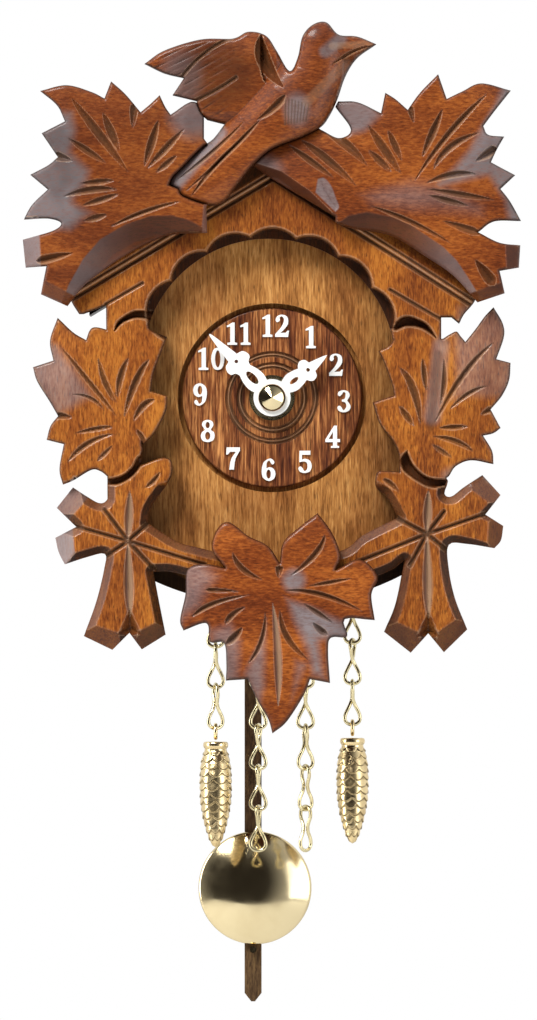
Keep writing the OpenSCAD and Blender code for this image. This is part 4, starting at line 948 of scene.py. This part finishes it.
def shape_bird(r):
    p = r.p
    x, z = p[:, 0], p[:, 1]
    body = ridge(p, [(10, 41.8), (8.6, 36), (4.5, 29.5), (-2.5, 22.5), (-9, 16.5), (-17, 11.5)],
                 [5.4, 6.6, 8.2, 7.4, 7.0, 7.2], [8.4, 8.8, 9.0, 8.0, 6.6, 5.0])
    beak = ridge(p, [(12, 41.6), (17, 41.8), (21.9, 42.2)], [3.4, 2.4, 0.9], [7.8, 7.0, 5.6])
    shoulder = np.array((-3.2, 40.0))
    wing = 6.6 - 0.115 * np.linalg.norm(p - shoulder, axis=1) + 0.5 * np.cos((z - 36) / 7)
    strip = 6.2 - 0.35 * np.abs(x - 0.8)
    edge_x = -2.5 + 0.055 * np.clip(38.5 - z, 0, 9) ** 2
    wing = np.where(x > edge_x, strip, wing)
    wing = np.where(z < 28, wing - 0.35 * (28 - z), wing)
    r.h = np.maximum(np.maximum(body, beak), wing)
    # Painted shade darkens the whole bird and most of the wing
    r.mark("edge", 0.26)
    r.spot("haze", (-19, 35), (6, 8), 0.6)
    r.spot("edge", (-13, 36), (16, 13), 0.72)
    # Painted sheen on the tail, beak and breast; the pale streaks on the beak and breast are
    # painted highlights
    r.streak("haze", (-20.6, 12.8), (-11.2, 23.6), 2.4, 0.95)
    r.streak("haze", (11.2, 40.6), (14.4, 43.2), 1.9, 0.8)
    r.streak("worn", (12.6, 41.7), (20.6, 42.3), 1.3, 0.36)
    r.streak("worn", (15.6, 38.2), (7.4, 30.0), 2.0, 0.30)
    r.gouges(
        (2.8, 2.4, -2.3, 44.3, -1.6, 38.6, 2.5, 33.0, 0.45),
        (1.6, 1.0, 2.9, 31.6, 0.2, 28.6, -3.4, 26.1, 0.3))
    r.groove((-8.2, 43.6), (-14, 40.4), (-18.9, 35.4))
    r.groove((-7.5, 35.2), (-12, 32.4), (-16.4, 30.2), width=1.0)
    feather_strokes(r)
    r.spot("haze", (5.2, 28.4), (3.8, 4.8), 0.8)
    for i in range(8):
        r.groove((2.9 + i * 0.68, 30.8 - i * 0.2), (2.8 + i * 0.62, 25.2 + i * 0.12), width=0.45,
                 depth=0.18, stain_and_shade=0.6)
    r.gouges(
        (0.7, 0.6, 21.4, 41.9, 17, 40.6, 12.2, 37.5, 0.6),
        (0.9, 0.7, -2.2, 26.6, -10, 18.6, -19.0, 10.6, 0.3),
        (0.9, 0.7, -5.4, 23.1, -12.2, 16.4, -17.4, 9.6),
        (0.8, 0.6, -5.4, 26.4, -12.5, 19.6, -20.5, 13.4))
    r.h = np.clip(r.h, 2.0, BIRD_T)
    r.round_rim(0.9, 0.9)


def feather_strokes(r):
    """Fine straight cuts along the wing's feathers, fading towards the shoulder."""
    x, z = r.p[:, 0], r.p[:, 1]
    wing = smooth((-6.5 - x) / 6) * smooth((z - 25.5 + 0.25 * (x + 10)) / 2)
    for angle, pitch, low, high in ((26, 1.15, 40.5, 60), (30, 1.3, 35.2, 40.1),
                                    (33, 1.25, 20, 34.8)):
        a = math.radians(angle)
        across = -x * math.sin(a) + z * math.cos(a)
        along = x * math.cos(a) + z * math.sin(a)
        v = np.clip(1.2 - np.abs((across / pitch % 1) - 0.5) * 4.5, 0, 1)
        level = z - 0.45 * (x + 12)
        band = smooth((level - low + 1) / 1.5) * smooth((high - level + 1) / 1.5)
        amount = v * wing * band * (0.65 + 0.35 * np.sin(along * 0.7 + across * 3.1))
        r.h -= 0.12 * amount
        r.mark("edge", amount)


def band_faces(rings, spokes, closed=False):
    """Faces round rings of points, which are closed into a loop or capped at both ends."""
    faces = []
    for i in range(rings if closed else rings - 1):
        this, after = i * spokes, (i + 1) % rings * spokes
        for k in range(spokes):
            m = (k + 1) % spokes
            faces.append((this + k, this + m, after + m, after + k))
    if not closed:
        faces.append(tuple(range(spokes))[::-1])
        faces.append(tuple(range((rings - 1) * spokes, rings * spokes)))
    return faces


def turned(node, rings, spokes, closed=False):
    """Verts and faces turned about a node's axis along Y; rings are (radius, forward)."""
    _, _, (x, _, z) = extent(node)
    verts = []
    for radius, forward in rings:
        for k in range(spokes):
            a = 2 * math.pi * k / spokes
            verts.append((x + radius * math.cos(a), -forward, z + radius * math.sin(a)))
    return np.array(verts), band_faces(len(rings), spokes, closed)


# ---- Weights and chains ----

CONE_PROFILE = [(0, 0.05), (0, 2.2), (0.12, 2.5), (0.4, 2.62), (0.85, 2.65), (1.2, 2.55),
                (1.5, 2.3), (1.9, 2.35), (2.6, 2.6), (4.6, 3.05), (7, 3.25), (9.5, 3.3),
                (12.5, 3.2), (15.8, 2.7), (18.5, 2.0), (20.5, 1.35), (21.9, 0.7), (22.3, 0.05)]
SCALE_PITCH = 1.5
SCALES_AROUND = 7
SCALES_START = 1.9
RING_R = 1.4
CHAIN_EYE = 0.45                     # half the thickness of the CAD's wire


def pine_scales(angle, drop):
    """How far a pine cone's scales stand out, and the painted shadow along their outlines."""
    best = np.zeros_like(drop)
    line = np.ones_like(drop)
    row0 = np.floor(drop / SCALE_PITCH)
    for back in (0, 1, 2):
        row = row0 - back
        turn = angle / (2 * math.pi) * SCALES_AROUND + 0.5 * (row % 2) + 0.13 * row
        side = (turn % 1) - 0.5
        down = drop / SCALE_PITCH - row
        t = down / np.maximum(1.75 - 2.6 * side ** 2, 0.05)
        lift = np.where(t < 1, np.clip(t, 0, 1) ** 1.3 * (1 - 1.5 * side ** 2), 0)
        lift = lift * np.clip((1 - t) / 0.1, 0, 1) ** 0.5
        above = lift > best
        line = np.where(above, np.clip((t - 0.84) / 0.1, 0, 1), line)
        best = np.maximum(best, lift)
    return best, np.maximum(line, np.clip(1 - best / 0.3, 0, 1))


def pine_cone(node, name, body):
    low, high, (x, y, _) = extent(node)
    length = CONE_PROFILE[-1][0]
    top = low[2] + length
    spokes, steps = 112, 230
    drop = np.linspace(0, length, steps)
    radius = np.interp(drop, *zip(*CONE_PROFILE))
    a, d = np.meshgrid(np.arange(spokes) * 2 * math.pi / spokes, drop)
    fade = smooth((d - SCALES_START) / 0.8) * smooth((length - d) / 1.4)
    lift, line = pine_scales(a, d - SCALES_START)
    rad = np.maximum(radius[:, None] + fade * (0.42 * lift - 0.14), 0.04)
    verts = np.stack([x + rad * np.cos(a), y + rad * np.sin(a), top - d], -1).reshape(-1, 3)
    # The rings run downwards, so the faces are turned round
    faces = [(face[0], *face[:0:-1]) for face in band_faces(steps, spokes)]
    ring_z = high[2] - RING_R - CHAIN_EYE
    ring = wire([(x, y + RING_R * math.cos(t), ring_z + RING_R * math.sin(t))
                 for t in np.linspace(0, 2 * math.pi, 40, endpoint=False)], 0.42)
    # The cut mark here is painted shadow under each scale's edge
    cut = np.concatenate([(line * fade).reshape(-1), np.zeros(len(ring[0]))])
    verts, faces = join((verts, faces), ring)
    new_piece(name, verts, faces, body, "cone_metal", node, {"cut": cut})


def join(*parts):
    """Verts and faces of several parts as one."""
    verts, faces, base = [], [], 0
    for some_verts, some_faces in parts:
        verts.append(np.asarray(some_verts))
        faces += [tuple(base + v for v in face) for face in some_faces]
        base += len(some_verts)
    return np.concatenate(verts), faces


WIRE_SIDES = 12


def wire(path, radius):
    """A closed wire along the path."""
    path = np.array(path, float)
    ahead = np.roll(path, -1, 0) - np.roll(path, 1, 0)
    ahead /= np.linalg.norm(ahead, axis=1)[:, None]
    normal = np.cross(ahead[0], (0.3, 1, 0.2))
    verts, frames = [], []
    for direction in ahead:
        normal = normal - direction * (normal @ direction)
        normal /= np.linalg.norm(normal)
        frames.append(normal)
    # Spread the twist left at the end over the whole wire
    last = frames[-1] - ahead[0] * (frames[-1] @ ahead[0])
    last /= np.linalg.norm(last)
    twist = math.atan2(np.cross(last, frames[0]) @ ahead[0], last @ frames[0])
    for i, (spot, direction, normal) in enumerate(zip(path, ahead, frames)):
        other = np.cross(direction, normal)
        for k in range(WIRE_SIDES):
            a = 2 * math.pi * k / WIRE_SIDES + twist * i / len(path)
            verts.append(spot + radius * (math.cos(a) * normal + math.sin(a) * other))
    return np.array(verts), band_faces(len(path), WIRE_SIDES, closed=True)


WIRE_R = 0.38
LOOP_W = 1.62
LINK_TWIST = math.radians(72)


def figure_eight(x, y, middle, pitch, turn):
    """One link: two teardrop loops, the upper turned against the lower."""
    reach = pitch / 2 + WIRE_R
    points = []
    for t in np.linspace(0, 2 * math.pi, 72, endpoint=False):
        up = math.cos(t)
        side = LOOP_W * math.sin(2 * t)
        across = 0.46 * math.sin(t) * (1 - abs(up)) ** 0.7
        a = turn + LINK_TWIST * float(smooth(np.array((up + 0.55) / 1.1)))
        points.append((x + side * math.cos(a) - across * math.sin(a),
                       y + side * math.sin(a) + across * math.cos(a), middle + reach * up))
    return wire(points, WIRE_R)


def chain(node, name, body, *turns):
    """A hanging chain with one link for each turn, in degrees."""
    low, high, (x, y, _) = extent(node)
    pitch = (high[2] - low[2] - 4 * CHAIN_EYE) / len(turns)
    middle = high[2] - 2 * CHAIN_EYE - pitch / 2
    links = [figure_eight(x, y, middle - pitch * i, pitch, math.radians(turn))
             for i, turn in enumerate(turns)]
    new_piece(name, *join(*links), body, "aged_brass", node)


# ---- Bob, dial and nut ----

def disc_size(node):
    """The radius of a round part that faces forward, and how far forward its two sides are."""
    low, high, _ = extent(node)
    return (high[0] - low[0]) / 2, -high[1], -low[1]


def make_bob():
    radius, back, front = disc_size("pendulum_bob")
    rise = front - back - 0.9
    rings = [(radius * 0.25, back), (radius - 0.5, back), (radius - 0.15, back + 0.15),
             (radius, back + 0.45), (radius - 0.05, back + 0.75)]
    for t in np.linspace(0.985, 0.0, 40):
        rings.append((max(radius * t, 0.03), back + 0.9 + rise * (1 - t ** 2.2)))
    new_piece("bob_disc", *turned("pendulum_bob", rings, 128), "bob", "brass", "pendulum_bob",
              sharp=60)


DIAL_CUTS = ((9.5, 0.30, 0.55), (8.8, 0.22, 0.4), (7.2, 0.28, 0.5), (6.4, 0.24, 0.45))
DIAL_BEADS = (9.15, 6.8)
DIAL_BORE = 3.4
DIAL_RIM = 0.5
DIAL_SPOKES = 192


def make_dial():
    radius, back, front = disc_size("dial")
    flat = radius - DIAL_RIM
    radii = np.concatenate([np.linspace(DIAL_BORE, 10.5, 190), np.linspace(10.6, flat, 30),
                            flat + DIAL_RIM * np.sin(np.linspace(0.1, math.pi / 2, 8))])
    height = np.full(len(radii), front)
    cut = np.zeros(len(radii))
    for at, half, depth in DIAL_CUTS:
        d = np.clip(1 - np.abs(radii - at) / (half + 0.12), 0, 1)
        height -= depth * smooth(d * 1.3)
        cut = np.maximum(cut, 1.2 * d)
    worn = np.zeros(len(radii))
    for at in DIAL_BEADS:
        worn = np.maximum(worn, 0.8 * np.exp(-((radii - at) / 0.13) ** 2))
    edge = np.clip((radii - radius + DIAL_RIM) / DIAL_RIM, 0, 1)
    height -= 0.4 * edge ** 2
    rings = [(DIAL_BORE, back), *zip(radii, height), (radius, back)]
    spread = [np.repeat([0, *values, last], DIAL_SPOKES)
              for values, last in ((np.minimum(cut, 1), 0), (edge * 0.8, 0.8), (worn, 0))]
    new_piece("dial_disc", *turned("dial", rings, DIAL_SPOKES, closed=True), "case", "dial_wood",
              "dial", dict(zip(MARKS, spread)), sharp=50)


def make_hand_nut():
    radius, back, front = disc_size("hand_nut")
    rings = [(1.0, back), (radius - 0.1, back), (radius, back + 0.1), (radius, back + 0.75),
             (radius - 0.12, back + 0.9)]
    rings += [(max((radius - 0.3) * t, 0.02), front - 1.0 * t) for t in np.linspace(1, 0, 12)]
    new_piece("hand_nut_cone", *turned("hand_nut", rings, 96), "minute_works", "brass",
              "hand_nut", sharp=30)


make_camera()
make_studio()
make_floor()
finish_cad_nodes()
for node, name, top, shape in (
        ("left_crown_leaf", "left_crown_carving", LEAF_T, shape_left_crown),
        ("right_crown_leaf", "right_crown_carving", LEAF_T, shape_right_crown),
        ("bottom_leaf", "bottom_leaf_carving", LEAF_T, shape_bottom_leaf),
        ("bird", "bird_carving", BIRD_T, shape_bird)):
    carved_board(node, name, "leaf_wood", LEAF_BACK, top, LEAF_PITCH, shape)
carved_board("carved_frame", "frame_carving", "carved_wood", BOARD_BACK, FRAME_T, FRAME_PITCH,
             shape_frame)
for side in ("left", "right"):
    pine_cone(side + "_weight", side + "_cone_weight", side + "_cone")
chain("left_weight_chain", "left_weight_links", "left_chain", 8, -6, 14, 28)
chain("right_weight_chain", "right_weight_links", "right_chain", 8, 10, -4, 12)
chain("left_chain_tail", "left_tail_links", "left_tail", 4, -3, 2, 0, -4, 3, 0)
chain("right_chain_tail", "right_tail_links", "right_tail", 0, 6, -4, 4, 24, 40, 52)
make_bob()
make_dial()
make_hand_nut()
